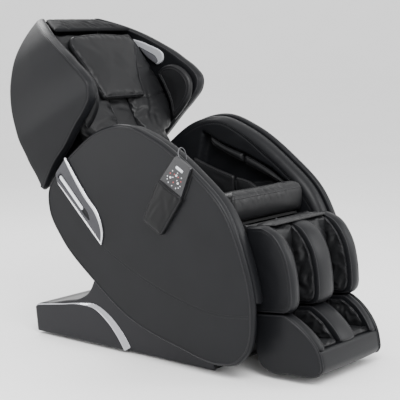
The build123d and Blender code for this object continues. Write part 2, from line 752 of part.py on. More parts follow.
with BuildPart() as leg_frame:
    for x in (-BACK_OUT, BACK_IN - 2):
        with BuildSketch(leg_plane(x)):
            with BuildLine():
                Polyline((1, FRAME_DEEP + 1), (1, PIVOT_BACK), (24, PIVOT_BACK), (44, -5),
                         (300, -5), (300, FRAME_DEEP + 1), close=True)
            make_face()
            with Locations((PIVOT_DOWN, PIVOT_BACK)):
                Circle(14)
        extrude(amount=12)
    for x in (-FRAME_OUT, BACK_OUT):
        with BuildSketch(leg_plane(x)):
            with Locations((PIVOT_DOWN, PIVOT_BACK)):
                Circle(LEG_PIN_R)
        extrude(amount=FRAME_OUT - BACK_OUT)
    with BuildSketch(leg_plane(-BACK_IN)):
        with Locations((PIVOT_DOWN, PIVOT_BACK)):
            Circle(12)
        with Locations((60, GUIDE_AT), (265, GUIDE_AT)):
            Rectangle(40, 28)
    extrude(amount=2 * BACK_IN)
    leg_crank = Plane(
        origin=(12, *LEG_PIVOT),
        x_dir=(0, sin(radians(LEG_CRANK_TURN)), -cos(radians(LEG_CRANK_TURN))),
        z_dir=(1, 0, 0),
    )
    with BuildSketch(leg_crank):
        with Locations((62, 0)):
            Rectangle(124, 38)
        with Locations((95, 0)):
            SlotOverall(41, 22, mode=Mode.SUBTRACT)
    extrude(amount=10)
    guide = Plane(origin=(0, *LEG_TOP), x_dir=(1, 0, 0), z_dir=down_leg)
    with BuildSketch(guide.offset(230)):
        with Locations((GUIDE_X, -GUIDE_AT), (-GUIDE_X, -GUIDE_AT)):
            Circle(FOOT_ROD_R + RUNNING)
    extrude(amount=80, mode=Mode.SUBTRACT)
save(leg_frame, "leg_frame")

with BuildPart() as leg_back_cover:
    with BuildSketch(leg_plane(-LEG_HALF)):
        with Locations((178, -COVER_THICK / 2)):
            Rectangle(262, COVER_THICK)
    extrude(amount=2 * LEG_HALF)
save(leg_back_cover, "leg_back_cover")

for side, sign in SIDES:
    with BuildPart() as calf_wall:
        with BuildSketch(leg_plane(first_x(sign, WALL_IN, LEG_HALF))):
            add(calf_side.sketch_local)
        extrude(amount=LEG_HALF - WALL_IN)
        with BuildSketch(leg_plane(first_x(sign, WALL_IN, 198))):
            with Locations((150, 0)):
                Rectangle(400, -2 * FRAME_DEEP)
        extrude(amount=198 - WALL_IN, mode=Mode.SUBTRACT)
        with BuildSketch(leg_plane(first_x(sign, WALL_IN, LEG_HALF))):
            with Locations((178, 0)):
                Rectangle(264, 2 * COVER_THICK + 0.4)
        extrude(amount=LEG_HALF - WALL_IN, mode=Mode.SUBTRACT)
    save(calf_wall, f"calf_wall_{side}")

with BuildPart() as calf_liner:
    with BuildSketch(leg_plane(-WALL_IN + 0.5)):
        with BuildLine():
            Polyline((2, FRAME_DEEP - 0.5), (12, LINER_DEEP), (306, LINER_DEEP),
                     (306, FRAME_DEEP - 0.5), close=True)
        make_face()
    extrude(amount=2 * WALL_IN - 1)
save(calf_liner, "calf_liner")

with BuildPart() as calf_divider:
    with BuildSketch(leg_plane(-DIVIDER_HALF)):
        add(calf_side.sketch_local)
        with Locations((150, 0)):
            Rectangle(500, -2 * LINER_DEEP + 1, mode=Mode.SUBTRACT)
    extrude(amount=2 * DIVIDER_HALF)
save(calf_divider, "calf_divider")

# ---- foot rest ----------------------------------------------------------------------------
FOOT_TOP = 318
SOLE_DOWN = 455            # where the sole pad and the toe cover start
HEEL_DEEP = -56            # front of the heel pad
TOE_AT = -120              # rear of the toe cover
FOOT_FRONT = [(321, -132), (366, -190), (457, -250), (520, -257)]

with BuildSketch() as foot_side:
    with BuildLine():
        Polyline((FOOT_TOP, -2), (321, -132))
        Spline(*FOOT_FRONT)
        ThreePointArc(FOOT_FRONT[-1], (540, -243), (547, -215))
        Polyline((547, -215), (519, 12), (FOOT_TOP, -2))
    make_face()

with BuildPart() as foot_frame:
    with BuildSketch(leg_plane(-175)):
        with Locations((FOOT_TOP + 6, GUIDE_AT)):
            Rectangle(10, 32)
    extrude(amount=350)
    with BuildSketch(guide.offset(120)):
        with Locations((GUIDE_X, -GUIDE_AT), (-GUIDE_X, -GUIDE_AT)):
            Circle(FOOT_ROD_R)
    extrude(amount=FOOT_TOP + 2 - 120)
save(foot_frame, "foot_frame")

for side, sign in SIDES:
    with BuildPart() as foot_wall:
        with BuildSketch(leg_plane(first_x(sign, WALL_IN, LEG_HALF))):
            add(foot_side.sketch_local)
            with Locations((SOLE_DOWN + 100, TOE_AT - 100)):
                Rectangle(200, 200, mode=Mode.SUBTRACT)
        extrude(amount=LEG_HALF - WALL_IN)
    save(foot_wall, f"foot_wall_{side}")

with BuildPart() as foot_liner:
    with BuildSketch(leg_plane(-WALL_IN + 0.5)):
        with BuildLine():
            Polyline((330, -3), (330, HEEL_DEEP), (SOLE_DOWN, HEEL_DEEP), (SOLE_DOWN, TOE_AT + 0.5),
                     (533, TOE_AT + 0.5), (518, 8), close=True)
        make_face()
    extrude(amount=2 * WALL_IN - 1)
save(foot_liner, "foot_liner")

with BuildPart() as foot_divider:
    with BuildSketch(leg_plane(-DIVIDER_HALF)):
        add(foot_side.sketch_local)
        with Locations((500, 0)):
            Rectangle(600, 2 - 2 * HEEL_DEEP, mode=Mode.SUBTRACT)
        with Locations((SOLE_DOWN + 99.5, -150)):
            Rectangle(200, 400, mode=Mode.SUBTRACT)
    extrude(amount=2 * DIVIDER_HALF)
save(foot_divider, "foot_divider")

with BuildPart() as foot_toe_cover:
    with BuildSketch(leg_plane(-LEG_HALF)):
        add(foot_side.sketch_local)
        with Locations((SOLE_DOWN + 100, TOE_AT - 100)):
            Rectangle(200, 200, mode=Mode.INTERSECT)
    extrude(amount=2 * LEG_HALF)
save(foot_toe_cover, "foot_toe_cover")
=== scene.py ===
"""The massage chair's looks, built round its CAD frame: upholstery, painted base, trims, stage and lights."""
import json

import bpy
import numpy as np
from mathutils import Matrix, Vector
from mathutils.geometry import delaunay_2d_cdt
from mathutils.kdtree import KDTree


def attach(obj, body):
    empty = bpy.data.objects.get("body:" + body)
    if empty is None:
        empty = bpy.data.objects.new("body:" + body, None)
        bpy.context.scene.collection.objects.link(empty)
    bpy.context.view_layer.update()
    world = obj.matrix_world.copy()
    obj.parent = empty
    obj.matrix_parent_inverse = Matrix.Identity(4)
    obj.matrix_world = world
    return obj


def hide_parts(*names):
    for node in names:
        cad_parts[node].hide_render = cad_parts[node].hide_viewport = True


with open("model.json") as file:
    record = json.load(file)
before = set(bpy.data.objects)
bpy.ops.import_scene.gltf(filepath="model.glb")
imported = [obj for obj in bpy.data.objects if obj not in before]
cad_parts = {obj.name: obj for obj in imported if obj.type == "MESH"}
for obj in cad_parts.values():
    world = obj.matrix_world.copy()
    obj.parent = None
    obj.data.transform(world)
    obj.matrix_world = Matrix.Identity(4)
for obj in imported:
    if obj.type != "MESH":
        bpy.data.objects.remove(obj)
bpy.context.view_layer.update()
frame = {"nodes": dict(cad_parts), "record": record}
SIDES = (("left", 1), ("right", -1))
STEP = 8     # mesh spacing of the large pieces, in mm


# ---- materials ----------------------------------------------------------------------------
def wire(material, kind, **values):
    """A new shader node with its named properties or inputs set."""
    node = material.node_tree.nodes.new(kind)
    for key, value in values.items():
        if key in node.inputs:
            node.inputs[key].default_value = value
        else:
            setattr(node, key, value)
    return node


def surface(name, color, roughness, grain=0.0, size=0.002, cells=False, vary=0.12, patches=0.12,
            rough_vary=0.05, **shader_values):
    """A procedural material: uneven colour and sheen over patches, and a fine bumpy grain."""
    material = bpy.data.materials.new(name)
    material.use_nodes = True
    link = material.node_tree.links.new
    shader = material.node_tree.nodes["Principled BSDF"]
    for key, value in shader_values.items():
        shader.inputs[key.replace("_", " ")].default_value = value
    place = wire(material, "ShaderNodeTexCoord").outputs["Object"]
    blotch = wire(material, "ShaderNodeTexNoise", Scale=1 / patches, Detail=4.0)
    link(place, blotch.inputs["Vector"])
    ramp = wire(material, "ShaderNodeValToRGB")
    ramp.color_ramp.elements[0].position = 0.3
    ramp.color_ramp.elements[1].position = 0.7
    ramp.color_ramp.elements[0].color = [c * (1 - vary) for c in color] + [1]
    ramp.color_ramp.elements[1].color = [min(1, c * (1 + vary)) for c in color] + [1]
    link(blotch.outputs["Fac"], ramp.inputs["Fac"])
    link(ramp.outputs["Color"], shader.inputs["Base Color"])
    sheen = wire(material, "ShaderNodeMapRange")
    sheen.inputs["To Min"].default_value = roughness - rough_vary
    sheen.inputs["To Max"].default_value = roughness + rough_vary
    link(blotch.outputs["Fac"], sheen.inputs["Value"])
    link(sheen.outputs["Result"], shader.inputs["Roughness"])
    if grain:
        if cells:
            texture = wire(material, "ShaderNodeTexVoronoi", Scale=1 / size, feature="DISTANCE_TO_EDGE")
            height = texture.outputs["Distance"]
        else:
            texture = wire(material, "ShaderNodeTexNoise", Scale=1 / size, Detail=3.0)
            height = texture.outputs["Fac"]
        link(place, texture.inputs["Vector"])
        bump = wire(material, "ShaderNodeBump", Strength=grain, Distance=0.0004)
        link(height, bump.inputs["Height"])
        link(bump.outputs["Normal"], shader.inputs["Normal"])
    return material


LEATHER = dict(grain=0.3, size=0.0018, cells=True, Specular_IOR_Level=0.17)
# For each look: its colour, its roughness, and the rest of what surface takes.
LOOKS_OF = {
    "smooth_leather": ((0.0058, 0.0061, 0.0072), 0.42, LEATHER),
    # soft_leather: the cushions' leather, with its own roughness, made lighter than smooth_leather as painted
    # fill light on the shaded inner faces of the pads, wells and hood
    "soft_leather": ((0.0095, 0.0097, 0.0105), 0.38, LEATHER),
    "dull_leather": ((0.006, 0.0062, 0.007), 0.6, dict(LEATHER, Specular_IOR_Level=0.06)),
    "pouch_leather": ((0.0055, 0.0056, 0.0062), 0.4, LEATHER),
    "piping": ((0.013, 0.013, 0.0145), 0.32, LEATHER),
    "thread": ((0.012, 0.012, 0.013), 0.6, dict(grain=0.4, size=0.0006)),
    "fabric": ((0.004, 0.004, 0.0045), 0.9, dict(grain=0.5, size=0.0012)),
    "base_paint": ((0.011, 0.011, 0.013), 0.34, dict(
        grain=0.06, size=0.0006, vary=0.05, Metallic=0.3, Specular_IOR_Level=0.2, Coat_Weight=0.05,
        Coat_Roughness=0.2)),
    # painted highlight: a light silver for the strip along the base covers' ridge, where the bevel catches
    # the light
    "ridge_painted_highlight": ((0.45, 0.45, 0.48), 0.22, dict(grain=0.05, size=0.0006, vary=0.05, Metallic=0.85)),
    "silver_trim": ((0.66, 0.67, 0.69), 0.24, dict(grain=0.05, size=0.001, vary=0.05, Metallic=0.9)),
    "dark_trim": ((0.045, 0.045, 0.05), 0.35, dict(grain=0.5, size=0.0022, cells=True, Metallic=0.6)),
    "speaker_trim": ((0.5, 0.51, 0.54), 0.38, dict(grain=0.05, size=0.001, vary=0.05, Metallic=0.25)),
    "speaker_mesh": ((0.13, 0.13, 0.145), 0.5, dict(grain=0.8, size=0.0022, cells=True, Metallic=0.3)),
    "light_lens": ((0.72, 0.74, 0.77), 0.35, dict(grain=0.1, size=0.004, vary=0.03)),
    "dark_steel": ((0.012, 0.012, 0.013), 0.6, dict(grain=0.3, size=0.002, Metallic=0.1)),
    "bright_steel": ((0.55, 0.55, 0.57), 0.28, dict(grain=0.1, size=0.001, Metallic=1.0)),
    "rubber": ((0.015, 0.015, 0.015), 0.85, dict(grain=0.4, size=0.003)),
    "wheel_plastic": ((0.05, 0.05, 0.052), 0.55, dict(grain=0.3, size=0.002)),
    "black_plastic": ((0.022, 0.022, 0.024), 0.5, dict(grain=0.4, size=0.0015)),
    "handset_plastic": ((0.012, 0.012, 0.014), 0.3, dict(grain=0.1, size=0.001)),
    "key_plastic": ((0.55, 0.55, 0.56), 0.4, dict(grain=0.1, size=0.001)),
    "red_print": ((0.55, 0.06, 0.06), 0.4, dict(grain=0.1, size=0.001)),
    "screen": ((0.62, 0.64, 0.68), 0.2, dict(grain=0.05, size=0.002, Coat_Weight=0.5)),
    "cord_sheath": ((0.06, 0.06, 0.065), 0.5, dict(grain=0.2, size=0.001)),
    "floor": ((0.93, 0.93, 0.93), 0.6, dict(grain=0.02, size=0.01, vary=0.01, patches=0.8)),
}
LOOKS = {name: surface(name, color, roughness, **more)
         for name, (color, roughness, more) in LOOKS_OF.items()}
for part in frame["record"]["subparts"]:
    node = frame["nodes"][part["node"]]
    node.data.materials.clear()
    node.data.materials.append(LOOKS["fabric" if part["node"] == "seat_pan" else part["material_slot"]])


# ---- lines --------------------------------------------------------------------------------
def run(points, step=6, closed=False):
    """Points along a smooth line through the given ones; two points make a straight line."""
    p = np.array(points, float)
    if closed:
        p = np.vstack([p[-2:], p, p[:2]])
    gaps = np.linalg.norm(np.diff(p, axis=0), axis=1)
    slopes = np.diff(p, axis=0) / gaps[:, None]
    inner = (slopes[1:] * gaps[:-1, None] + slopes[:-1] * gaps[1:, None]) / (gaps[1:] + gaps[:-1])[:, None]
    tangents = np.vstack([slopes[:1], inner, slopes[-1:]])
    if not closed and len(p) > 2:
        tangents[0] = 1.5 * slopes[0] - 0.5 * tangents[1]
        tangents[-1] = 1.5 * slopes[-1] - 0.5 * tangents[-2]
    found = []
    for i in range(2 if closed else 0, len(p) - (2 if closed else 1)):
        t = np.linspace(0, 1, max(2, int(np.ceil(gaps[i] / step)) + 1))[:-1, None]
        found.append(
            (2 * t**3 - 3 * t**2 + 1) * p[i] + (t**3 - 2 * t**2 + t) * gaps[i] * tangents[i]
            + (3 * t**2 - 2 * t**3) * p[i + 1] + (t**3 - t**2) * gaps[i] * tangents[i + 1])
    if not closed:
        found.append(p[-1:])
    return np.vstack(found)


def loop(*runs):
    """A closed outline from smooth and straight runs, each going on from where the last ended."""
    found = [run(runs[0])[:-1]]
    for before, points in zip(runs, runs[1:]):
        found.append(run([before[-1], *points])[:-1])
    return np.vstack(found)


def rounded(corners, radius):
    """A polygon's outline with its corners rounded."""
    p = np.array(corners, float)
    found = []
    for before, here, after in zip(np.roll(p, 1, 0), p, np.roll(p, -1, 0)):
        start = here + (before - here) * min(0.45, radius / np.linalg.norm(before - here))
        end = here + (after - here) * min(0.45, radius / np.linalg.norm(after - here))
        t = np.linspace(0, 1, 7)[:, None]
        found.append((1 - t)**2 * start + 2 * t * (1 - t) * here + t**2 * end)
    return np.vstack(found)


def block(x0, y0, x1, y1, radius):
    """A rectangle's outline with its corners rounded."""
    return rounded([(x0, y0), (x1, y0), (x1, y1), (x0, y1)], radius)


def lengths(line):
    """How far along the line each of its points is."""
    return np.concatenate([[0], np.cumsum(np.linalg.norm(np.diff(line, axis=0), axis=1))])


def even(line, step, closed=False):
    """The line again, with evenly spaced points."""
    p = np.vstack([line, line[:1]]) if closed else np.array(line, float)
    along = lengths(p)
    count = max(2, int(round(along[-1] / step)))
    at = np.linspace(0, along[-1], count + 1)
    if closed:
        at = at[:-1]
    return np.stack([np.interp(at, along, p[:, k]) for k in range(p.shape[1])], axis=1)


def gap(points, line, closed=False):
    """How far each point is from the line."""
    a = line if closed else line[:-1]
    b = np.roll(line, -1, 0) if closed else line[1:]
    ab = b - a
    size = np.maximum((ab**2).sum(1), 1e-9)
    best = []
    for chunk in np.array_split(points, max(1, len(points) // 3000)):
        to = chunk[:, None] - a[None]
        t = np.clip((to * ab).sum(2) / size, 0, 1)
        best.append(np.sqrt(((to - t[..., None] * ab)**2).sum(2)).min(1))
    return np.concatenate(best)


def inside(points, line):
    a, b = line, np.roll(line, -1, 0)
    found = []
    for chunk in np.array_split(points, max(1, len(points) // 3000)):
        x, y = chunk[:, :1], chunk[:, 1:]
        over = (a[:, 1] > y) != (b[:, 1] > y)
        cross = (b[:, 0] - a[:, 0]) * (y - a[:, 1]) / np.where(b[:, 1] == a[:, 1], 1e-9, b[:, 1] - a[:, 1])
        found.append((over & (x < cross + a[:, 0])).sum(1) % 2 == 1)
    return np.concatenate(found)


def normals_of(line, closed=True):
    """Unit vectors across the line, to its left."""
    if closed:
        along = np.roll(line, -1, 0) - np.roll(line, 1, 0)
    else:
        along = np.gradient(line, axis=0)
    along /= np.maximum(np.linalg.norm(along, axis=1), 1e-9)[:, None]
    return np.stack([-along[:, 1], along[:, 0]], axis=1)


def inset(line, amount):
    """A closed outline drawn in by the amount."""
    across = normals_of(line) * amount
    trial = line + across
    return trial if inside(trial, line).mean() > 0.5 else line - across


def smooth(t):
    t = np.clip(t, 0, 1)
    return t * t * (3 - 2 * t)


# ---- meshes -------------------------------------------------------------------------------
def mesh_object(name, points, faces, look, body):
    """A smooth-shaded mesh from points in mm, riding a body."""
    mesh = bpy.data.meshes.new(name)
    mesh.from_pydata(np.asarray(points) * 0.001, [], [list(map(int, f)) for f in faces])
    mesh.validate()
    mesh.shade_smooth()
    mesh.materials.append(LOOKS[look])
    made = bpy.data.objects.new(name, mesh)
    bpy.context.scene.collection.objects.link(made)
    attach(made, body)
    return made


class Pad:
    """A closed form over a flat outline: a crowned front, a back, and what joins them.

    place turns outline points and heights into positions, all in mm. front and back are heights, and may
    depend on the outline point. rim is how far in the front's rounding reaches. The two meet at the height
    edge, or, where edge is None, each drops by its drop to a band between them that bulges outwards.
    """

    def __init__(self, name, body, outline, place, edge, front, back, slot="smooth_leather", look=None,
                 rim=14, back_rim=None, power=2.2, step=None, seams=(), seam_deep=2.5, seam_wide=3.5,
                 crown=0, reach=90, folds=None, holes=(), replaces=(), fill=None, drop=8, bulge=4,
                 row=14):
        self.step = step or STEP
        self.loops = [even(o, min(self.step, 7), True) for o in (outline, *holes)]
        self.place, self.edge, self.front, self.back = place, edge, front, back
        self.rim, self.back_rim, self.power = rim, back_rim or rim, power
        self.seams = [even(np.array(s, float), min(self.step, 6)) for s in seams]
        self.seam_deep, self.seam_wide = seam_deep, seam_wide
        self.crown, self.reach, self.folds, self.drop = crown, reach, folds, drop
        self.body = body
        self.moved = None
        low, high = self.loops[0].min(0), self.loops[0].max(0)
        middle = np.array([(low + high) / 2])
        self.way = np.sign(self.value(front, middle)[0] - self.value(back, middle)[0])
        flat, triangles, on_edge, loop_ids = self.triangulate()
        self.flat = flat
        points = [np.stack(place(*flat.T, self.front_height(flat)), axis=1)]
        inner = np.flatnonzero(~on_edge) if edge is not None else np.arange(len(flat))
        points.append(np.stack(place(*flat[inner].T, self.back_height(flat[inner])), axis=1))
        other = np.arange(len(flat))
        other[inner] = len(flat) + np.arange(len(inner))
        faces = [triangles, other[triangles][:, ::-1]]
        self.held = np.concatenate([np.flatnonzero(on_edge), len(flat) + np.arange(len(inner))])
        if edge is None:
            start = len(flat) + len(inner)
            for number, ids in enumerate(loop_ids):
                edge_line = flat[ids]
                top, bottom = self.front_height(edge_line), self.back_height(edge_line)
                rows = max(2, int(np.ceil(np.abs(top - bottom).max() / row)))
                out = normals_of(edge_line)
                into = inside(edge_line + 0.5 * out, edge_line).mean() > 0.5
                out = -out if into == (number == 0) else out
                last = ids
                for k in range(1, rows + 1):
                    u = k / rows
                    line = edge_line + out * bulge * (4 * u * (1 - u))**0.7
                    if k < rows:
                        points.append(np.stack(place(*line.T, top + (bottom - top) * u), axis=1))
                        now = start + np.arange(len(ids))
                        start += len(ids)
                    else:
                        now = other[ids]
                    following, after = np.roll(last, -1), np.roll(now, -1)
                    flip = self.against(triangles, ids)
                    pair = [np.stack([last, now, following], 1), np.stack([following, now, after], 1)]
                    faces += [p[:, ::-1] if flip else p for p in pair]
                    last = now
        points, faces = np.vstack(points), np.vstack(faces)
        a, b, c = (points[faces[:, k]] for k in range(3))
        if (a * np.cross(b, c)).sum() < 0:
            faces = faces[:, ::-1]
        self.object = mesh_object(name, points, faces, look or slot, body)
        if replaces:
            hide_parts(*replaces)

    @staticmethod
    def value(height, points):
        return height(*points.T) if callable(height) else np.full(len(points), float(height))

    @staticmethod
    def against(triangles, ids):
        """Whether the triangles pass the loop's first edge the other way round from the loop."""
        following = np.roll(triangles, -1, 1)
        return not ((triangles == ids[0]) & (following == ids[1])).any()

    def triangulate(self):
        rings = [r for r in (1.2, 3, 5.5, 9, 13, 18, 24, 31) if r < max(1.3, self.rim * 1.15)]
        rows = []
        for line in self.loops:
            across = normals_of(line)
            for r in rings:
                for way in (1, -1):
                    rows.append((line + way * r * across, r))
        for line in self.seams:
            across = normals_of(line, closed=False)
            rows.append((line, None))
            for away in (1, 2, 3.2):
                for way in (1, -1):
                    rows.append((line + way * away * self.seam_wide * 0.8 * across, None))
        kept = []
        for points, r in rows:
            near = self.distance(points)
            limit = rings[0] * 0.9 if r is None else r * 0.97
            kept.append(points[self.within(points) & (near > limit)])
        low, high = self.loops[0].min(0), self.loops[0].max(0)
        xs = np.arange(low[0], high[0], self.step)
        ys = np.arange(low[1], high[1], self.step * 0.866)
        grid = np.array([(x + (self.step / 2 if k % 2 else 0), y) for k, y in enumerate(ys) for x in xs])
        grid = grid[self.within(grid) & (self.distance(grid) > rings[-1] + 0.45 * self.step)]
        for line in self.seams:
            grid = grid[gap(grid, line) > 2.6 * self.seam_wide + 0.4 * self.step]
        kept.append(grid)
        count = sum(len(line) for line in self.loops)
        points = np.vstack([*self.loops, *kept])
        edges, start = [], 0
        for line in self.loops:
            n = len(line)
            edges += [(start + k, start + (k + 1) % n) for k in range(n)]
            start += n
        made = delaunay_2d_cdt([Vector(p) for p in points.tolist()], edges, [], 1, 0.4)
        flat = np.array([tuple(v) for v in made[0]])
        on_edge = np.array([min(ids, default=count) < count for ids in made[3]])
        triangles = np.array([f for f in made[2] if len(f) == 3])
        middle = flat[triangles].mean(1)
        wanted = self.within(middle)
        if self.edge is not None:
            wanted &= ~on_edge[triangles].all(1)
        triangles = triangles[wanted]
        used = np.unique(triangles)
        index = np.full(len(flat), -1)
        index[used] = np.arange(len(used))
        place_of = {i: k for k, ids in enumerate(made[3]) for i in ids}
        loop_ids, start = [], 0
        for line in self.loops:
            ids = [index[place_of[start + k]] for k in range(len(line))]
            loop_ids.append(np.array([i for i in ids if i >= 0]))
            start += len(line)
        return flat[used], index[triangles], on_edge[used], loop_ids

    def distance(self, points):
        return np.min([gap(points, line, True) for line in self.loops], axis=0)

    def within(self, points):
        found = inside(points, self.loops[0])
        for hole in self.loops[1:]:
            found &= ~inside(points, hole)
        return found

    def rise(self, near, rim):
        return (1 - (1 - np.clip(near / rim, 0, 1))**self.power)**(1 / self.power)

    def front_height(self, points):
        near = self.distance(points)
        top = self.value(self.front, points)
        relief = self.crown * smooth(near / self.reach)
        if self.folds:
            relief = relief + self.folds(*points.T) * smooth(near / 25)
        for line in self.seams:
            relief = relief - self.seam_deep * np.exp(-(gap(points, line) / self.seam_wide)**2)
        rise = self.rise(near, self.rim)
        low = self.edge if self.edge is not None else top - self.way * self.drop
        return low + (top - low + self.way * relief) * rise

    def back_height(self, points):
        rise = self.rise(self.distance(points), self.back_rim)
        back = self.value(self.back, points)
        low = self.edge if self.edge is not None else back + self.way * self.drop
        return low + (back - low) * rise

    def at(self, line, lift=0.0, back=False):
        """Places on the finished front, or on the back, along a line in the outline's plane."""
        line = np.array(line, float)
        if back:
            return np.stack(self.place(*line.T, self.back_height(line) - lift * self.way), axis=1)
        found = np.stack(self.place(*line.T, self.front_height(line) + lift * self.way), axis=1)
        if self.moved is not None:
            for k, p in enumerate(line):
                near = self.tree.find_n((*p, 0), 3)
                weights = np.array([1 / (n[2] + 0.5) for n in near])
                found[k] += (self.moved[[n[1] for n in near]] * weights[:, None]).sum(0) / weights.sum()
        return found

    def swell(self, pressure=4.0, grow=0.04, cap=8.0, frames=20, stiff=8.0):
        """Blows the front up as cloth held along its rim, and keeps each point within cap mm."""
        scene = bpy.context.scene
        group = self.object.vertex_groups.new(name="held")
        group.add([int(i) for i in self.held], 1.0, "REPLACE")
        cloth = self.object.modifiers.new("cloth", "CLOTH")
        values = dict(
            quality=6, mass=0.25, tension_stiffness=stiff, compression_stiffness=stiff,
            shear_stiffness=stiff / 2, bending_stiffness=0.4, vertex_group_mass="held", use_pressure=True,
            uniform_pressure_force=pressure, shrink_min=-grow)
        for key, value in values.items():
            setattr(cloth.settings, key, value)
        cloth.settings.effector_weights.gravity = 0
        cloth.point_cache.frame_start = 1
        cloth.point_cache.frame_end = frames
        for number in range(1, frames + 1):
            scene.frame_set(number)
        shown = self.object.evaluated_get(bpy.context.evaluated_depsgraph_get())
        rest = np.array([v.co for v in self.object.data.vertices])
        new = np.array([v.co for v in shown.data.vertices])
        move = new - rest
        size = np.maximum(np.linalg.norm(move, axis=1), 1e-9)
        move *= (cap * 0.001 * np.tanh(size / (cap * 0.001)) / size)[:, None]
        self.object.modifiers.remove(cloth)
        self.object.vertex_groups.remove(group)
        self.object.data.vertices.foreach_set("co", (rest + move).ravel())
        self.object.data.update()
        scene.frame_set(1)
        self.moved = move[:len(self.flat)] * 1000
        self.tree = KDTree(len(self.flat))
        for k, p in enumerate(self.flat):
            self.tree.insert((*p, 0), k)
        self.tree.balance()


def cushion(*args, **more):
    """A pad of soft leather, lighter in colour than the smooth leather as painted fill light."""
    return Pad(*args, slot="soft_leather", **more)


def wrinkles(seed, count, box, angle=0.0, spread=20, depth=2.5, width=7, length=60):
    """Soft creases at seeded places in the box, most of them along the angle, in degrees."""
    random = np.random.default_rng(seed)
    low, high = np.array(box[:2], float), np.array(box[2:], float)
    lines = []
    for _ in range(count):
        turn = np.radians(angle + random.normal(0, spread))
        lines.append((low + (high - low) * random.random(2), np.array([np.cos(turn), np.sin(turn)]),
                      depth * random.uniform(0.4, 1), width * random.uniform(0.7, 1.4),
                      length * random.uniform(0.5, 1.3), random.uniform(-0.004, 0.004)))

    def height(a, b):
        total = np.zeros(len(a))
        for middle, way, deep, wide, long, bend in lines:
            along = (a - middle[0]) * way[0] + (b - middle[1]) * way[1]
            across = (b - middle[1]) * way[0] - (a - middle[0]) * way[1] + bend * along**2
            fade = np.exp(-(along / long)**2)
            total += fade * deep * (0.55 * np.exp(-((across - 1.7 * wide) / wide)**2)
                                    - np.exp(-(across / wide)**2))
        return total
    return height


def beside(sign, near, low, far, high):
    """A box between two distances from the middle, on one side of it."""
    return (near, low, far, high) if sign > 0 else (-far, low, -near, high)


trims = {}         # for each body and look, the points and faces of every cord and stitch
SKEW = (0.31, 0.52, 0.8)     # a direction that no cord or row of stitches runs along


def tube(body, path, radius=2.6, look="piping", closed=False, sides=8):
    """Adds a round cord along a path in mm to the body's trims."""
    path = even(np.asarray(path), 5, closed)
    if closed:
        along = np.roll(path, -1, 0) - np.roll(path, 1, 0)
    else:
        along = np.gradient(path, axis=0)
    along /= np.linalg.norm(along, axis=1)[:, None]
    first = np.cross(along[0], SKEW)
    across = [first / np.linalg.norm(first)]
    for direction in along[1:]:
        turned = across[-1] - direction * (across[-1] @ direction)
        across.append(turned / np.linalg.norm(turned))
    across = np.array(across)
    up = np.cross(along, across)
    if closed:
        last = across[-1] - along[0] * (across[-1] @ along[0])
        twist = np.arctan2(last @ up[0], last @ across[0])
        turn = -twist * np.arange(len(path)) / len(path)
        across, up = (across * np.cos(turn)[:, None] + up * np.sin(turn)[:, None],
                      up * np.cos(turn)[:, None] - across * np.sin(turn)[:, None])
    round_it = np.arange(sides) * 2 * np.pi / sides
    points = (path[:, None] + radius * (np.cos(round_it)[None, :, None] * across[:, None]
                                        + np.sin(round_it)[None, :, None] * up[:, None])).reshape(-1, 3)
    faces = []
    n = len(path)
    for i in range(n if closed else n - 1):
        j = (i + 1) % n
        faces += [(i * sides + k, i * sides + (k + 1) % sides, j * sides + (k + 1) % sides, j * sides + k)
                  for k in range(sides)]
    if not closed:
        faces += [tuple(range(sides))[::-1], tuple((n - 1) * sides + k for k in range(sides))]
    trims.setdefault((body, look), []).append((points, faces))


def stitches(body, path, pitch=7, length=4.6, radius=0.75):
    """Adds a row of thread stitches along a path in mm to the body's trims."""
    path = even(np.asarray(path), pitch)
    for start, end in zip(path[:-1], path[1:]):
        way = (end - start) / np.linalg.norm(end - start)
        side = np.cross(way, SKEW)
        side *= radius / np.linalg.norm(side)
        up = np.cross(way, side)
        middle = (start + end) / 2
        half = way * length / 2
        points = [middle - half, middle + side, middle + up, middle - side, middle - up, middle + half]
        faces = [(0, 2, 1), (0, 3, 2), (0, 4, 3), (0, 1, 4), (5, 1, 2), (5, 2, 3), (5, 3, 4), (5, 4, 1)]
        trims.setdefault((body, "thread"), []).append((np.array(points), faces))


def seam(pad, line, lift=0.6, apart=5.0):
    """A double row of stitches along a seam of a pad."""
    line = even(np.array(line, float), 6)
    across = normals_of(line, closed=False)
    for way in (1, -1):
        row = line + way * apart * across
        row = row[pad.within(row) & (pad.distance(row) > 4)]
        if len(row) > 2:
            stitches(pad.body, pad.at(row, lift))


def edging(pad, amount, lift=0.0, radius=2.6, where=None, back=False):
    """Piping along a pad's outline, drawn in by the amount; where keeps part of it."""
    line = inset(pad.loops[0], amount)
    line = line[pad.within(line) & (pad.distance(line) > amount * 0.9)]
    keep = np.array([where is None or where(*p) for p in line])
    if keep.all():
        tube(pad.body, pad.at(line, lift, back), radius, closed=True)
        return
    start = int(np.flatnonzero(keep & ~np.roll(keep, 1))[0])
    line, keep = np.roll(line, -start, 0), np.roll(keep, -start)
    stop = int(np.flatnonzero(~keep)[0])
    tube(pad.body, pad.at(line[:stop], lift, back), radius)


def edgings(pad, amount, radius, where):
    """Piping along the front and the back of a pad's outline, where it shows."""
    edging(pad, amount, radius=radius, where=where)
    edging(pad, amount, radius=radius, where=where, back=True)


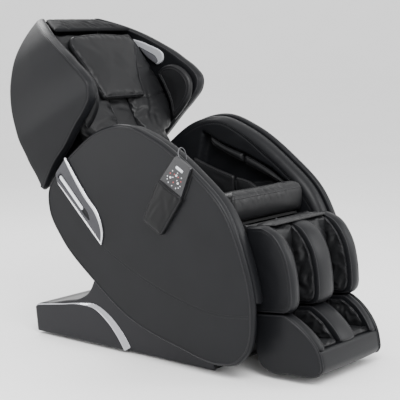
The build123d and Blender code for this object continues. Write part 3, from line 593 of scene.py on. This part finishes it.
# ---- where each flat outline stands -------------------------------------------------------
PANEL_IN = 308        # from the middle to the inner face of the side panels
TRIM_OUT = 340        # to the panels' outer face, where the trims and the pouch lie
HOOD_WALL = 267.5     # to the inner face of the hood's walls, where they don't lean
LEG_WALL = 180.5      # to the inner face of the calf and foot walls
DIVIDER_HALF = 50     # half the width of the wall between the legs
BACK_SIN, BACK_COS = 0.48481, 0.87462      # the back leans 29 degrees from upright
LEG_SIN, LEG_COS = 0.12706, 0.99189        # the leg rest hangs 7.3 degrees forward
POUCH_SIN, POUCH_COS = 0.5, 0.86603        # the pouch is turned 30 degrees
BACK_PIVOT = (190, 420)                    # (y, z) where the back's outlines are measured from
LEG_TOP = (-402, 546)                      # (y, z) where the leg rest's outlines are measured from
POUCH_FOOT = (-58, 524)                    # (y, z) of the middle of the pouch's lower edge


def side_place(x, sign):
    return lambda a, b, h: (sign * (x + h), a, b)


LEAN = run([(340, 0), (410, 0), (480, -22), (560, -45), (620, -45), (720, -32), (800, -12), (860, 10),
            (920, 48), (970, 90), (1012, 135)], 5)


def lean(s):
    """How far the hood's sides come in at a height up the back; they bow out at the shoulders."""
    return np.interp(s, *LEAN.T)


def back_at(s, n):
    return BACK_PIVOT[0] + BACK_SIN * s - BACK_COS * n, BACK_PIVOT[1] + BACK_COS * s + BACK_SIN * n


def hood_place(x, sign):
    return lambda a, b, h: (sign * (x + h - lean(a)), *back_at(a, b))


def back_place(a, b, h):
    return a, *back_at(b, h)


def leg_at(t, w):
    return LEG_TOP[0] - LEG_SIN * t + LEG_COS * w, LEG_TOP[1] - LEG_COS * t - LEG_SIN * w


def leg_side_place(x, sign):
    return lambda a, b, h: (sign * (x + h), *leg_at(a, b))


def leg_place(a, b, h):
    return a, *leg_at(b, -h)


def across_leg(t):
    """A plane across the leg, its heights up towards the knee."""
    return lambda a, b, h: (a, *leg_at(t - h, -b))


def divider_place(a, b, h):
    return h - DIVIDER_HALF, *leg_at(a, b)


def profile_place(points):
    """Along a (y, z) profile: the outline's second number runs along it, heights stand off its right."""
    line = run(points, 3)
    along = lengths(line)
    across = -normals_of(line, closed=False)

    def place(a, b, h):
        y, z, ny, nz = (np.interp(b, along, v) for v in (line[:, 0], line[:, 1], *across.T))
        return a, y + h * ny, z + h * nz
    return place, along[-1]


# ---- seat body: side panels and arms ------------------------------------------------------
BODY_EDGE = [
    (357, 787), (226, 875), (83, 904), (-55, 863), (-248, 745), (-375, 635), (-466, 460),
    (-513, 263), (-490, 110), (-435, 57), (-370, 43), (-174, 75), (78, 154), (258, 275),
    (428, 424), (496, 535), (501, 613), (440, 708),
]
body_line = run(BODY_EDGE, closed=True)
arm_line = even(inset(body_line, 8), 6, True)
arm_line = np.roll(arm_line, -int(np.argmin(arm_line[:, 1])), 0)
arm_line = arm_line[arm_line[:, 1] > 285]

PANEL_SEAM = [(190, 415), (74, 358), (-50, 307), (-200, 262), (-346, 235), (-503, 247)]
RECESS = np.array([(165, 838), (62, 790), (-55, 756), (-180, 708), (-277, 646), (-325, 596),
                   (-300, 566), (-149, 624), (-14, 604), (89, 628), (200, 668)], float)
BAND_SEAM = [(262, 812), (170, 858), (80, 869), (-35, 826), (-150, 754), (-255, 681), (-370, 565),
             (-430, 450)]


def arm_inner(a, b):
    points = np.stack([a, b], axis=1)
    deep = gap(points, RECESS, True) * np.where(inside(points, RECESS), 1, -1)
    return -67 + 44 * smooth(deep / 15)


ARM_PADS = (
    loop([(130, 817), (62, 784), (-40, 752)], [(-42, 712)], [(62, 750), (126, 786), (130, 817)]),
    loop([(-46, 750), (-151, 708), (-262, 644)], [(-250, 632)], [(-136, 676), (-48, 708)], [(-46, 750)]),
)
HIP_PADS = (
    loop([(199, 721), (97, 687), (-10, 659)], [(-14, 505)], [(120, 477)], [(174, 502), (199, 721)]),
    loop([(-20, 654), (-96, 640), (-156, 604), (-262, 558)], [(-256, 550)], [(-24, 507)], [(-20, 654)]),
)
for side, sign in SIDES:
    panel = Pad(
        f"panel_{side}", "seat", body_line, side_place(PANEL_IN, sign), 15, 32, 0.5, rim=17, back_rim=10,
        power=2.3, crown=3, reach=230, seams=[run(PANEL_SEAM)], seam_deep=1.5, seam_wide=3,
        replaces=[f"side_panel_{side}"])
    edging(panel, 11, radius=3)
    seam(panel, run(PANEL_SEAM))
    arm = Pad(
        f"armrest_{side}", "seat", arm_line, side_place(PANEL_IN - 1, sign), -30, arm_inner, -0.5, rim=36,
        back_rim=14, power=2.1, seams=[run(BAND_SEAM)], seam_deep=2, seam_wide=4,
        folds=wrinkles(7, 26, (-440, 480, 240, 860), -35, 30, 1.3, 14, 70), replaces=[f"arm_{side}"])
    seam(arm, run(BAND_SEAM))
    for number, outline in enumerate(ARM_PADS, 1):
        pad = cushion(
            f"arm_pad_{side}_{number}", "seat", outline, side_place(284, sign), -16, -38, 0, rim=15, step=6,
            crown=5, reach=16, folds=wrinkles(20 + number, 14, (-260, 620, 150, 800), 60, 25, 2.2, 6, 26),
            replaces=["arm_pads"], fill=0.7)
        edging(pad, 5, radius=2)
    for number, outline in enumerate(HIP_PADS, 1):
        pad = cushion(
            f"hip_pad_{side}_{number}", "seat", outline, side_place(239.3, sign), -8, -20, 0, rim=22,
            step=7, crown=4, reach=50,
            folds=wrinkles(30 + number, 20, (-260, 540, 190, 710), 20, 35, 2.6, 8, 40),
            replaces=["hip_pads"], fill=0.7)
        edging(pad, 6, radius=2)


# ---- seat cushion -------------------------------------------------------------------------
def seat_place(a, b, h):
    return a, b, 551 - 0.19 * (b + 330) + h


def seat_top(a, b):
    return 90 - 0.0825 * b


front_roll = cushion(
    "seat_front_roll", "seat", block(-233, -349, 233, -246, 22), seat_place, 52, seat_top, 3, rim=44,
    back_rim=14, crown=3, reach=50, folds=wrinkles(3, 9, (-230, -340, 230, -250), 80, 18, 1.2, 12, 40),
    replaces=["seat_cushion"], fill=0.85)
seat_main = cushion(
    "seat_cushion_main", "seat", block(-211, -250, 211, 120, 20), seat_place, 44, seat_top, 2, rim=26,
    crown=4, reach=120, seams=[run([(x, -238), (x, 108)]) for x in (-80, 80)], seam_deep=5, seam_wide=6,
    folds=wrinkles(4, 30, (-200, -240, 200, 110), 90, 35, 2.2, 8, 34), fill=0.7)
front_roll.swell(pressure=5, grow=0.012, cap=6)
edging(front_roll, 6, radius=2.2, where=lambda a, b: b < -300)
seat_main.swell(pressure=4, grow=0.04, cap=7)
for x in (-80, 80):
    seam(seat_main, [(x, -232), (x, 102)], apart=7)

# ---- silver trims and light bars ----------------------------------------------------------
TRIM_FRONT = [(392, 760), (282, 621), (220, 552), (196, 480), (205, 428)]
SLOT = [(418, 692), (275, 547), (266, 518), (300, 543), (438, 677)]


def strip(line, width, tip=0.3):
    """A strip along one side of a line, narrower towards its ends."""
    line = even(run(line), 6)
    u = np.linspace(0, 1, len(line))
    wide = width * (tip + (1 - tip) * np.sin(np.pi * np.clip(u * 0.9 + 0.1, 0, 1))**0.7)
    return np.vstack([line, (line + normals_of(line, closed=False) * wide[:, None])[::-1]])


for side, sign in SIDES:
    Pad(
        f"trim_blade_{side}", "seat", loop(TRIM_FRONT, [(440, 655)], [(450, 690)], [(392, 760)]),
        side_place(TRIM_OUT, sign), 2, 7.5, 0, slot="silver_trim", look="dark_trim", rim=6, back_rim=2,
        step=6, holes=[rounded(SLOT, 8)], replaces=[f"grille_{side}"])
    Pad(
        f"trim_edge_front_{side}", "seat", strip(TRIM_FRONT, 17), side_place(TRIM_OUT + 5, sign), 1.5, 5.5,
        0, slot="silver_trim", rim=6, back_rim=1, step=4)
    Pad(
        f"trim_edge_rear_{side}", "seat", strip([(208, 431), (320, 539), (437, 655)], 9),
        side_place(TRIM_OUT + 5, sign), 1.5, 5.5, 0, slot="silver_trim", rim=4, back_rim=1, step=4)
    Pad(
        f"light_bar_{side}", "seat", rounded([(421, 687), (300, 566), (309, 552), (432, 675)], 5),
        side_place(TRIM_OUT, sign), 1, 6, 0, slot="light_lens", rim=5, back_rim=1, step=4,
        replaces=["light_bars"])


# ---- handset in its pouch -----------------------------------------------------------------
def handset_place(a, b, h):
    return (np.full(len(a), -float(TRIM_OUT)) - h, POUCH_FOOT[0] + POUCH_COS * a - POUCH_SIN * b,
            POUCH_FOOT[1] + POUCH_SIN * a + POUCH_COS * b)


pouch = Pad(
    "pouch", "seat", rounded([(-54, 0), (54, 0), (67, 186), (-67, 186)], 20), handset_place, 4, 23, 0.4,
    slot="pouch_leather", rim=18, back_rim=3, power=2.4, step=5, crown=3, reach=40,
    folds=wrinkles(9, 7, (-45, 20, 45, 170), 75, 25, 1.6, 8, 40), replaces=["remote_pouch"], fill=0.5)
edging(pouch, 5, radius=2.2)
Pad(
    "pouch_flap", "seat",
    rounded([(-66, 150), (66, 150), (64, 225), (47, 300), (-47, 300), (-64, 225)], 10), handset_place, 1.5,
    3.2, 0.4, slot="pouch_leather", rim=3, step=6)
pouch_mouth = [(-60, 180), (-30, 178), (0, 177), (30, 178), (60, 180)]
tube("seat", pouch.at(run(pouch_mouth), 1), 2)
Pad(
    "handset_screen", "seat", block(-19, 262, 19, 274, 3), handset_place, 15.6, 16.2, 15.3,
    slot="handset_plastic", look="screen", rim=1, step=4)


def dots(name, places, radius, look):
    """Small raised round prints on the handset's face."""
    points, faces = [], []
    sides = 10
    turn = np.arange(sides) * 2 * np.pi / sides
    for across, up in places:
        low = len(points) + np.arange(sides)
        high = low + sides
        for height in (15.2, 16.0):
            ring = handset_place(across + radius * np.cos(turn), up + radius * np.sin(turn), height)
            points += np.stack(ring, 1).tolist()
        faces += [tuple(low), tuple(high[::-1])]
        faces += list(zip(np.roll(low, -1), low, high, np.roll(high, -1)))
    mesh_object(name, points, faces, look, "seat")


dots("handset_white_prints", [(-24, 246), (0, 252), (24, 246), (-30, 206), (-20, 198), (0, 196), (20, 198),
                              (30, 206), (-11, 226), (11, 226), (-34, 216), (34, 216)], 2.4, "screen")
dots("handset_red_prints", [(-28, 233), (28, 233), (0, 211), (-10, 240), (10, 240)], 2.2, "red_print")

CORD_ROUTE = [(-349.5, -187, 797), (-350, -181, 814), (-340, -177, 829), (-322, -175, 834),
              (-306, -176, 824), (-299, -178, 805), (-298, -180, 784)]
route = np.array(CORD_ROUTE)
cord_path = [route[:1]]
for before, here, after in zip(route, route[1:], route[2:]):
    reach = 0.45 * min(np.linalg.norm(here - before), np.linalg.norm(after - here))
    start = here + (before - here) * reach / np.linalg.norm(before - here)
    end = here + (after - here) * reach / np.linalg.norm(after - here)
    t = np.linspace(0, 1, 6)[:, None]
    cord_path.append((1 - t)**2 * start + 2 * t * (1 - t) * here + t**2 * end)
cord_path = np.vstack([*cord_path, route[-1:]])
tube("cord", cord_path, 2, "cord_sheath", sides=12)
cord_points, cord_faces = trims.pop(("cord", "cord_sheath"))[0]
cord = mesh_object("handset_flex", cord_points, cord_faces, "cord_sheath", "seat")
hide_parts("handset_cord")

# ---- back ---------------------------------------------------------------------------------
cushion(
    "back_channel", "backrest", block(-60, 72, 60, 892, 10), back_place, 48, 62, 37, rim=14, back_rim=6,
    folds=wrinkles(41, 26, (-55, 90, 55, 880), 5, 18, 2.4, 9, 40), crown=2, reach=40,
    replaces=["back_cushion"], fill=0.4)
BOLSTER_EDGE = [(258, 456), (278, 490), (300, 560), (300, 620), (284, 720), (264, 800), (242, 860),
                (222, 892)]
for side, sign in SIDES:
    outline = loop([(60, 64), (198, 64)], [(210, 300), (210, 432)], BOLSTER_EDGE, [(60, 892)], [(60, 64)])
    bolster = cushion(
        f"back_bolster_{side}", "backrest", outline * (sign, 1), back_place, 54, 77, 37, rim=30, back_rim=8,
        crown=3, reach=60,
        seams=[run([(sign * 62, 330), (sign * 130, 318), (sign * 206, 330)]),
               run([(sign * 62, 600), (sign * 160, 584), (sign * 298, 604)])],
        seam_deep=4, seam_wide=5, fill=0.7,
        folds=wrinkles(50 + sign, 46, beside(sign, 70, 90, 290, 860), 24 * sign, 30, 3.2, 9, 52))
    bolster.swell(pressure=4, grow=0.05, cap=6)

PILLOW_SIDE = [(123, 580), (142, 650), (164, 727), (188, 790), (195, 825), (178, 853), (114, 868), (0, 876)]
pillow_line = run(PILLOW_SIDE)
pillow_line = np.vstack([pillow_line, (pillow_line * (-1, 1))[::-1][1:]])
pillow = cushion(
    "pillow", "pillow", pillow_line, back_place, 97, 110, 86.8, rim=18, back_rim=6, crown=8, reach=110,
    power=2.3, folds=wrinkles(61, 8, (-120, 600, 120, 830), 10, 50, 1.2, 14, 60),
    replaces=["headrest_pillow"], fill=0.8)
pillow.swell(pressure=3, grow=0.015, cap=4)
edging(pillow, 5, radius=2.2)


def between_walls(points, spare):
    """The outline, over profile_place, of a piece that fills the hood from wall to wall."""
    line = run(points, 3)
    half = np.stack([HOOD_WALL - 0.5 - spare - lean(line[:, 0]), lengths(line)], axis=1)
    return np.vstack([half, (half * (-1, 1))[::-1]])


LINING = [(1004, -11), (984, 8), (962, 30), (902, 88)]
lining_place, lining_long = profile_place([back_at(s, n) for s, n in LINING])
LINING_SEAMS = [run([(x * 1.15, 6), (x * 1.25, lining_long / 2), (x * 1.5, lining_long - 6)])
                for x in (-96, 96)]
lining = Pad(
    "hood_lining", "backrest", between_walls(LINING, 3), lining_place, -5, 4, -11, rim=14, back_rim=8,
    crown=6, reach=60, seams=LINING_SEAMS, seam_deep=3, seam_wide=5,
    folds=wrinkles(71, 16, (-150, 10, 150, lining_long - 14), 78, 22, 3.4, 10, 60), fill=0.4,
    look="dull_leather")
for line in LINING_SEAMS:
    seam(lining, line)
CROWN = [(846, -132), (912, -98), (966, -53), (1003, -12)]
crown_place, crown_long = profile_place([back_at(s, n) for s, n in CROWN])
roof = Pad(
    "hood_roof", "backrest", between_walls(CROWN, 2), crown_place, -7, 2, -13, rim=12, back_rim=8, crown=4,
    reach=60, folds=wrinkles(75, 10, (-180, 10, 180, crown_long - 14), 85, 20, 1.5, 12, 50),
    look="dull_leather", replaces=["hood_top"])
edging(roof, 3, radius=2.4, where=lambda a, b: b > crown_long - 8)

WING_FRONT = [(353, -207), (406, -119), (443, -6), (483, 94), (510, 173), (537, 227), (579, 251), (639, 237),
              (689, 211), (737, 186), (790, 152), (843, 117), (914, 67), (1005, -12)]
WING_REAR = [(969, -57), (914, -103), (843, -138), (778, -165), (688, -187), (603, -198),
             (519, -211), (436, -229), (348, -228)]
WING_PAD = [(464, 90), (486, 150), (524, 206), (580, 230), (640, 216), (684, 176), (696, 134), (686, 90)]
for side, sign in SIDES:
    wing = Pad(
        f"hood_wing_{side}", "backrest", loop(WING_FRONT, WING_REAR, WING_FRONT[:1]),
        hood_place(HOOD_WALL + 1, sign), None, 49, 0, rim=13, drop=9, bulge=5, crown=3, reach=160,
        replaces=[f"wing_{side}"])
    edgings(wing, 3.5, 2.8, lambda s, n: n > 0.42 * (s - 900))
    pad = cushion(
        f"shoulder_pad_{side}", "backrest", loop(WING_PAD, WING_PAD[:1]), hood_place(HOOD_WALL, sign), -14,
        -33, 0, rim=26, crown=5, reach=70, folds=wrinkles(81, 10, (480, 90, 680, 210), 60, 40, 1.6, 8, 40),
        replaces=[f"wing_pad_{side}"], fill=0.8)
    edging(pad, 9, radius=2.4)
    edging(pad, 19, radius=2)
    Pad(
        f"speaker_trim_{side}", "backrest",
        loop([(722, 96), (724, 138), (738, 150), (816, 110), (868, 60)], [(829, 62), (767, 74), (722, 96)]),
        hood_place(HOOD_WALL, sign), -3, -8, 0, slot="silver_trim", look="speaker_trim", rim=5, back_rim=2,
        step=5, replaces=["speaker_trims"])
    mesh = Pad(
        f"speaker_mesh_{side}", "backrest",
        loop([(728, 96), (732, 112), (746, 115), (792, 91), (828, 67)], [(767, 77), (728, 96)]),
        hood_place(HOOD_WALL - 7.7, sign), -0.8, -2.6, 1, slot="silver_trim", look="speaker_mesh", rim=2,
        step=4)
    edging(mesh, 0.6, -0.4, 1.3)

SHELL = [(352, -227), (436, -227), (519, -207), (603, -193), (688, -183), (778, -161), (842, -134)]
shell_place, shell_long = profile_place([back_at(s, n) for s, n in SHELL])
SHELL_SEAMS = [run([(x, 10), (x * 1.05, 260), (x * 0.95, shell_long - 8)]) for x in (-150, 150)]
SHELL_SEAMS.append(run([(-295, 250), (0, 262), (295, 250)]))
shell = Pad(
    "back_cover", "backrest", between_walls(SHELL, 4), shell_place, 1.5, 9, 0.3, rim=14, back_rim=4,
    crown=4, reach=120, seams=SHELL_SEAMS, seam_deep=3, seam_wide=4,
    folds=wrinkles(91, 14, (-250, 30, 250, 480), 0, 40, 1.4, 16, 70))
edging(shell, 6, radius=2.4)
for line in SHELL_SEAMS:
    seam(shell, line)

# ---- leg rest -----------------------------------------------------------------------------
LEG_FRONT = [(30, -118), (91, -156), (200, -175), (272, -172)]
LEG_TOE = [(303, -158), (312, -128)]
calf_line = loop([(0, -1), (2, -70)], LEG_FRONT, LEG_TOE, [(309, -1)], [(0, -1)])
calf_middle = loop([(1, -60), (2, -70)], LEG_FRONT, LEG_TOE, [(311, -60)], [(1, -60)])
for side, sign in SIDES:
    wall = Pad(
        f"calf_side_{side}", "legrest", calf_line, leg_side_place(LEG_WALL, sign), None, 55, 0, rim=14,
        drop=7, bulge=5, crown=0.4, row=9, replaces=[f"calf_wall_{side}"],
        folds=wrinkles(101, 10, (20, -150, 300, -20), 10, 50, 0.9, 14, 60))
    edgings(wall, 2.5, 2.6, lambda t, w: w < -12)
    stitches("legrest", wall.at(inset(wall.loops[0], 12)[wall.loops[0][:, 1] < -30], 0.3))
    channel = cushion(
        f"calf_pad_{side}", "legrest", block(53, 6, 178, 303, 16) * (sign, 1), leg_place, 60, 84, 39,
        rim=24, back_rim=8, crown=4, reach=60,
        folds=wrinkles(110 + sign, 26, beside(sign, 60, 20, 170, 290), 8 * sign, 22, 3.2, 8, 40),
        replaces=["calf_liner"], fill=0.6)
    channel.swell(pressure=3, grow=0.06, cap=6)
CALF_BAG = loop([(14, -84), (38, -104), (95, -139), (200, -158), (266, -155)], [(296, -140), (300, -100)],
                [(298, -66)], [(14, -66)], [(14, -84)])
FOOT_BAG = loop([(334, -122), (374, -172), (444, -222)], [(444, -60)], [(334, -60)], [(334, -122)])


def air_bags(part, body, outline, fold_at, angle):
    """Wrinkled soft pads on both sides of each channel, standing off the divider and the outer wall."""
    for side, sign in SIDES:
        for number, (x, out) in enumerate(((50.5, 1), (180, -1))):
            bag = cushion(
                f"{part}_bag_{side}_{number}", body, outline, leg_side_place(x, sign), 3 * out, 12 * out, 0,
                rim=16, step=6, crown=4, reach=40, fill=0.5,
                folds=wrinkles(160 + 7 * number + sign, 18, fold_at, angle, 24, 2.4, 10, 50))
            bag.swell(pressure=3, grow=0.06, cap=5)
            edging(bag, 5, radius=2)


air_bags("calf", "legrest", CALF_BAG, (20, -150, 290, -80), 12)
cushion(
    "knee_flap", "legrest", block(-179, 3, 179, 88, 12), across_leg(0), -1, 6, -3, rim=30, back_rim=4,
    crown=7, reach=40, step=6, folds=wrinkles(171, 14, (-170, 8, 170, 80), 80, 20, 1.4, 10, 40), fill=0.3)
middle = Pad(
    "calf_middle", "legrest", calf_middle, divider_place, None, 2 * DIVIDER_HALF, 0, rim=12, drop=8,
    bulge=5, row=12, replaces=["calf_divider"])
edgings(middle, 2.5, 2.6, lambda t, w: w < -75)

# ---- foot rest ----------------------------------------------------------------------------
FOOT_FRONT = run([(321, -132), (366, -190), (457, -250), (520, -257)])
upper_front = FOOT_FRONT[FOOT_FRONT[:, 0] < 452]
toe_front = FOOT_FRONT[FOOT_FRONT[:, 0] > 456]
HEEL = [(531, -52), (503, -8), (446, 6)]
foot_line = np.vstack([run([(318, -3), (321, -132)])[:-1], upper_front,
                       loop([(454, -248), (454, -121)], [(534, -121)], HEEL, [(319, -3)])])
TOE_ROUND = [(520, -257), (540, -243), (547, -215)]
toe_line = np.vstack([toe_front, loop(TOE_ROUND, [(534, -121)], [(456, -121)], [(456, -249)])[1:]])
foot_middle = np.vstack([run([(320, -58), (321, -132)])[:-1], upper_front, run([(454, -248), (454, -58)]),
                         run([(454, -58), (321, -58)])[1:]])


def foot_in(w):
    """How far the foot rest's sides come in towards its toe."""
    return 26 * np.clip((-w - 110) / 147, 0, 1)**2.2


def foot_side_place(x, sign):
    return lambda a, b, h: (sign * (x + h - foot_in(b)), *leg_at(a, b))


TOE_HALF = 221     # half the width of the toe cover, inside the foot rest's skins


def toe_place(a, b, h):
    return (h - TOE_HALF) * (1 - foot_in(b) / (TOE_HALF + 15)), *leg_at(a, b)


air_bags("foot", "footrest", FOOT_BAG, (340, -200, 440, -70), -50)
skin_line = np.vstack([run([(318, -3), (321, -132)])[:-1], FOOT_FRONT[:-1],
                       loop(TOE_ROUND, [(534, -121)], HEEL, [(319, -3)])])
for side, sign in SIDES:
    wall = Pad(
        f"foot_side_{side}", "footrest", foot_line, foot_side_place(LEG_WALL, sign), None, 40, 0, rim=12,
        drop=7, bulge=4, row=9, replaces=[f"foot_wall_{side}"])
    edging(wall, 2.5, radius=2.6, where=lambda t, w: t < 452 and w < -12, back=True)
    skin = Pad(
        f"foot_skin_{side}", "footrest", skin_line, foot_side_place(LEG_WALL + 41, sign), None, 15, 0,
        rim=9, drop=6, bulge=2.5, row=7, crown=2, reach=90,
        folds=wrinkles(121, 8, (330, -220, 500, -20), 30, 50, 0.9, 14, 50))
    edging(skin, 2.5, radius=2.6, where=lambda t, w: w < -12 and t < 536)
    edging(skin, 2.5, radius=2.2, where=lambda t, w: w < -12 and t < 536, back=True)
    heel = cushion(
        f"heel_pad_{side}", "footrest", block(53, 322, 178, 450, 16) * (sign, 1), leg_place, 30, 56, 4,
        rim=24, back_rim=8, crown=5, reach=50,
        folds=wrinkles(130 + sign, 14, beside(sign, 60, 330, 170, 445), 40 * sign, 30, 3.5, 8, 36),
        replaces=["foot_liner"], fill=0.6)
    heel.swell(pressure=3, grow=0.06, cap=6)
    sole = cushion(
        f"sole_pad_{side}", "footrest", block(53, 60, 178, 234, 18) * (sign, 1), across_leg(454), 5, 16, 0,
        rim=20, back_rim=2, crown=5, reach=50,
        folds=wrinkles(140 + sign, 16, beside(sign, 60, 70, 170, 240), 30 * sign, 30, 3.2, 8, 36), fill=0.6)
    sole.swell(pressure=3, grow=0.06, cap=5)
middle = Pad(
    "foot_middle", "footrest", foot_middle, divider_place, None, 2 * DIVIDER_HALF, 0, rim=12, drop=8,
    bulge=4, row=12, replaces=["foot_divider"])
edgings(middle, 2.5, 2.6, lambda t, w: t < 452 and w < -75)
toe = Pad(
    "toe_cover", "footrest", toe_line, toe_place, None, 2 * TOE_HALF, 0, rim=10, drop=9, bulge=3, row=14,
    replaces=["foot_toe_cover"])
edgings(toe, 2.5, 2.4, lambda t, w: w < -125 and t > 460)

# ---- base covers --------------------------------------------------------------------------
RIDGE = run([(950, 120), (817, 141), (690, 161), (614, 160), (545, 126), (482, 71), (432, 6)])
raised = np.vstack([RIDGE, [(432, -40), (1000, -40), (1000, 120)]])
COVER_LEAN = 0.031584


def cover_outer(a, b):
    points = np.stack([a, b], axis=1)
    deep = gap(points, RIDGE) * np.where(inside(points, raised), 1, -1)
    wide = 9 + 22 * smooth((740 - a) / 280)
    return 1 + 13 * smooth(0.5 + deep / wide)


for side, sign in SIDES:
    def cover_place(a, b, h, sign=sign):
        return (sign * (300 - a * COVER_LEAN + h * 0.9995), -318 + a * 0.9995 + h * COVER_LEAN, b)

    outline = loop([(5, 8), (947, 8)], [(961, 115)], [(817, 150), (704, 180), (658, 210), (628, 262)],
                   [(620, 268)], [(200, 268)], [(60, 130)], [(0, 14)], [(5, 8)])
    Pad(
        f"base_side_{side}", "base", outline, cover_place, -3, cover_outer, -7, slot="base_paint", rim=6,
        back_rim=3, power=2, seams=[RIDGE], seam_deep=0, seam_wide=6, replaces=[f"base_cover_{side}"])
    # A lighter strip over the ridge's slope is a painted highlight where the bevel catches the light; the
    # bevel's step itself is the cover's shape in cover_outer.
    ridge = even(RIDGE[RIDGE[:, 1] > 12], 5)
    half = (2 + 11 * smooth((760 - ridge[:, 0]) / 320))[:, None] * normals_of(ridge, closed=False)
    Pad(
        f"base_ridge_{side}", "base", np.vstack([ridge + half, (ridge - half)[::-1]]), cover_place, None,
        lambda a, b: cover_outer(a, b) + 1, lambda a, b: cover_outer(a, b) - 1.5, slot="base_paint",
        look="ridge_painted_highlight", rim=5, step=5, drop=0.5, bulge=0.2, row=2)
REAR_PROFILE = [(627, 9), (634, 60), (641, 113), (570, 131), (499, 149), (388, 179), (342, 208), (312, 260)]
rear_place, rear_long = profile_place(REAR_PROFILE)
Pad(
    "base_rear", "base", block(-266, 1, 266, rear_long - 1, 6), rear_place, -1.5, 2, -5, slot="base_paint",
    rim=6, back_rim=3, power=2, holes=[block(-149, 36, -71, 68, 3)], replaces=["base_rear_cover"])

# ---- trims --------------------------------------------------------------------------------
for (body, look), pieces in trims.items():
    points, faces, start = [], [], 0
    for part_points, part_faces in pieces:
        points.append(part_points)
        faces += [tuple(start + i for i in f) for f in part_faces]
        start += len(part_points)
    mesh_object(f"{body}_{look}", np.vstack(points), faces, look, body)

# ---- stage, lights and camera -------------------------------------------------------------
# The floor bends up into a wall, and the two are turned to face the camera.
floor_mesh = bpy.data.meshes.new("floor")
HALF_WIDE, WALL_AT, BEND, TALL = 30, 26, 8, 20
up_bend = np.linspace(0.1, np.pi / 2, 14)
profile = [(-20, 0), (WALL_AT - BEND, 0)]
profile += [(WALL_AT - BEND + BEND * np.sin(a), BEND - BEND * np.cos(a)) for a in up_bend]
profile.append((WALL_AT, TALL))
turn = np.radians(52)
corners = []
for x in (-HALF_WIDE, HALF_WIDE):
    for y, z in profile:
        corners.append((x * np.cos(turn) + y * np.sin(turn), y * np.cos(turn) - x * np.sin(turn), z - 0.0005))
n = len(profile)
floor_mesh.from_pydata([tuple(map(float, c)) for c in corners], [],
                       [(k, n + k, n + k + 1, k + 1) for k in range(n - 1)])
floor_mesh.shade_smooth()
floor_mesh.materials.append(LOOKS["floor"])
floor = bpy.data.objects.new("floor", floor_mesh)
bpy.context.scene.collection.objects.link(floor)

world = bpy.data.worlds.new("studio")
world.use_nodes = True
world.node_tree.nodes["Background"].inputs["Color"].default_value = (1, 1, 1, 1)
world.node_tree.nodes["Background"].inputs["Strength"].default_value = 1.5
bpy.context.scene.world = world


def lamp(name, place, target, size, power):
    light = bpy.data.lights.new(name, "AREA")
    light.shape = "RECTANGLE"
    light.size, light.size_y = size
    light.energy = power
    made = bpy.data.objects.new(name, light)
    made.location = place
    made.rotation_euler = (Vector(target) - Vector(place)).to_track_quat("-Z", "Y").to_euler()
    made.visible_camera = False
    bpy.context.scene.collection.objects.link(made)


lamp("key", (-1.8, -2.2, 3.4), (0, 0, 0.7), (2.0, 2.0), 190)
lamp("front", (2.4, -3.4, 2.2), (0, -0.3, 0.6), (1.6, 2.0), 80)
lamp("rear", (0.6, 2.6, 3.0), (0, 0.2, 0.8), (2.0, 1.2), 80)
lamp("side", (-2.3, 1.7, 0.95), (-0.34, 0.1, 0.85), (1.8, 1.0), 20)

camera = bpy.data.objects.new("camera", bpy.data.cameras.new("camera"))
camera.data.lens = 112.3
camera.location = (-3.8624, -3.0277, 1.3236)
camera.rotation_euler = (Vector((0, -0.010, 0.585)) - camera.location).to_track_quat("-Z", "Y").to_euler()
camera.data.clip_end = 200
bpy.context.scene.collection.objects.link(camera)
bpy.context.scene.camera = camera
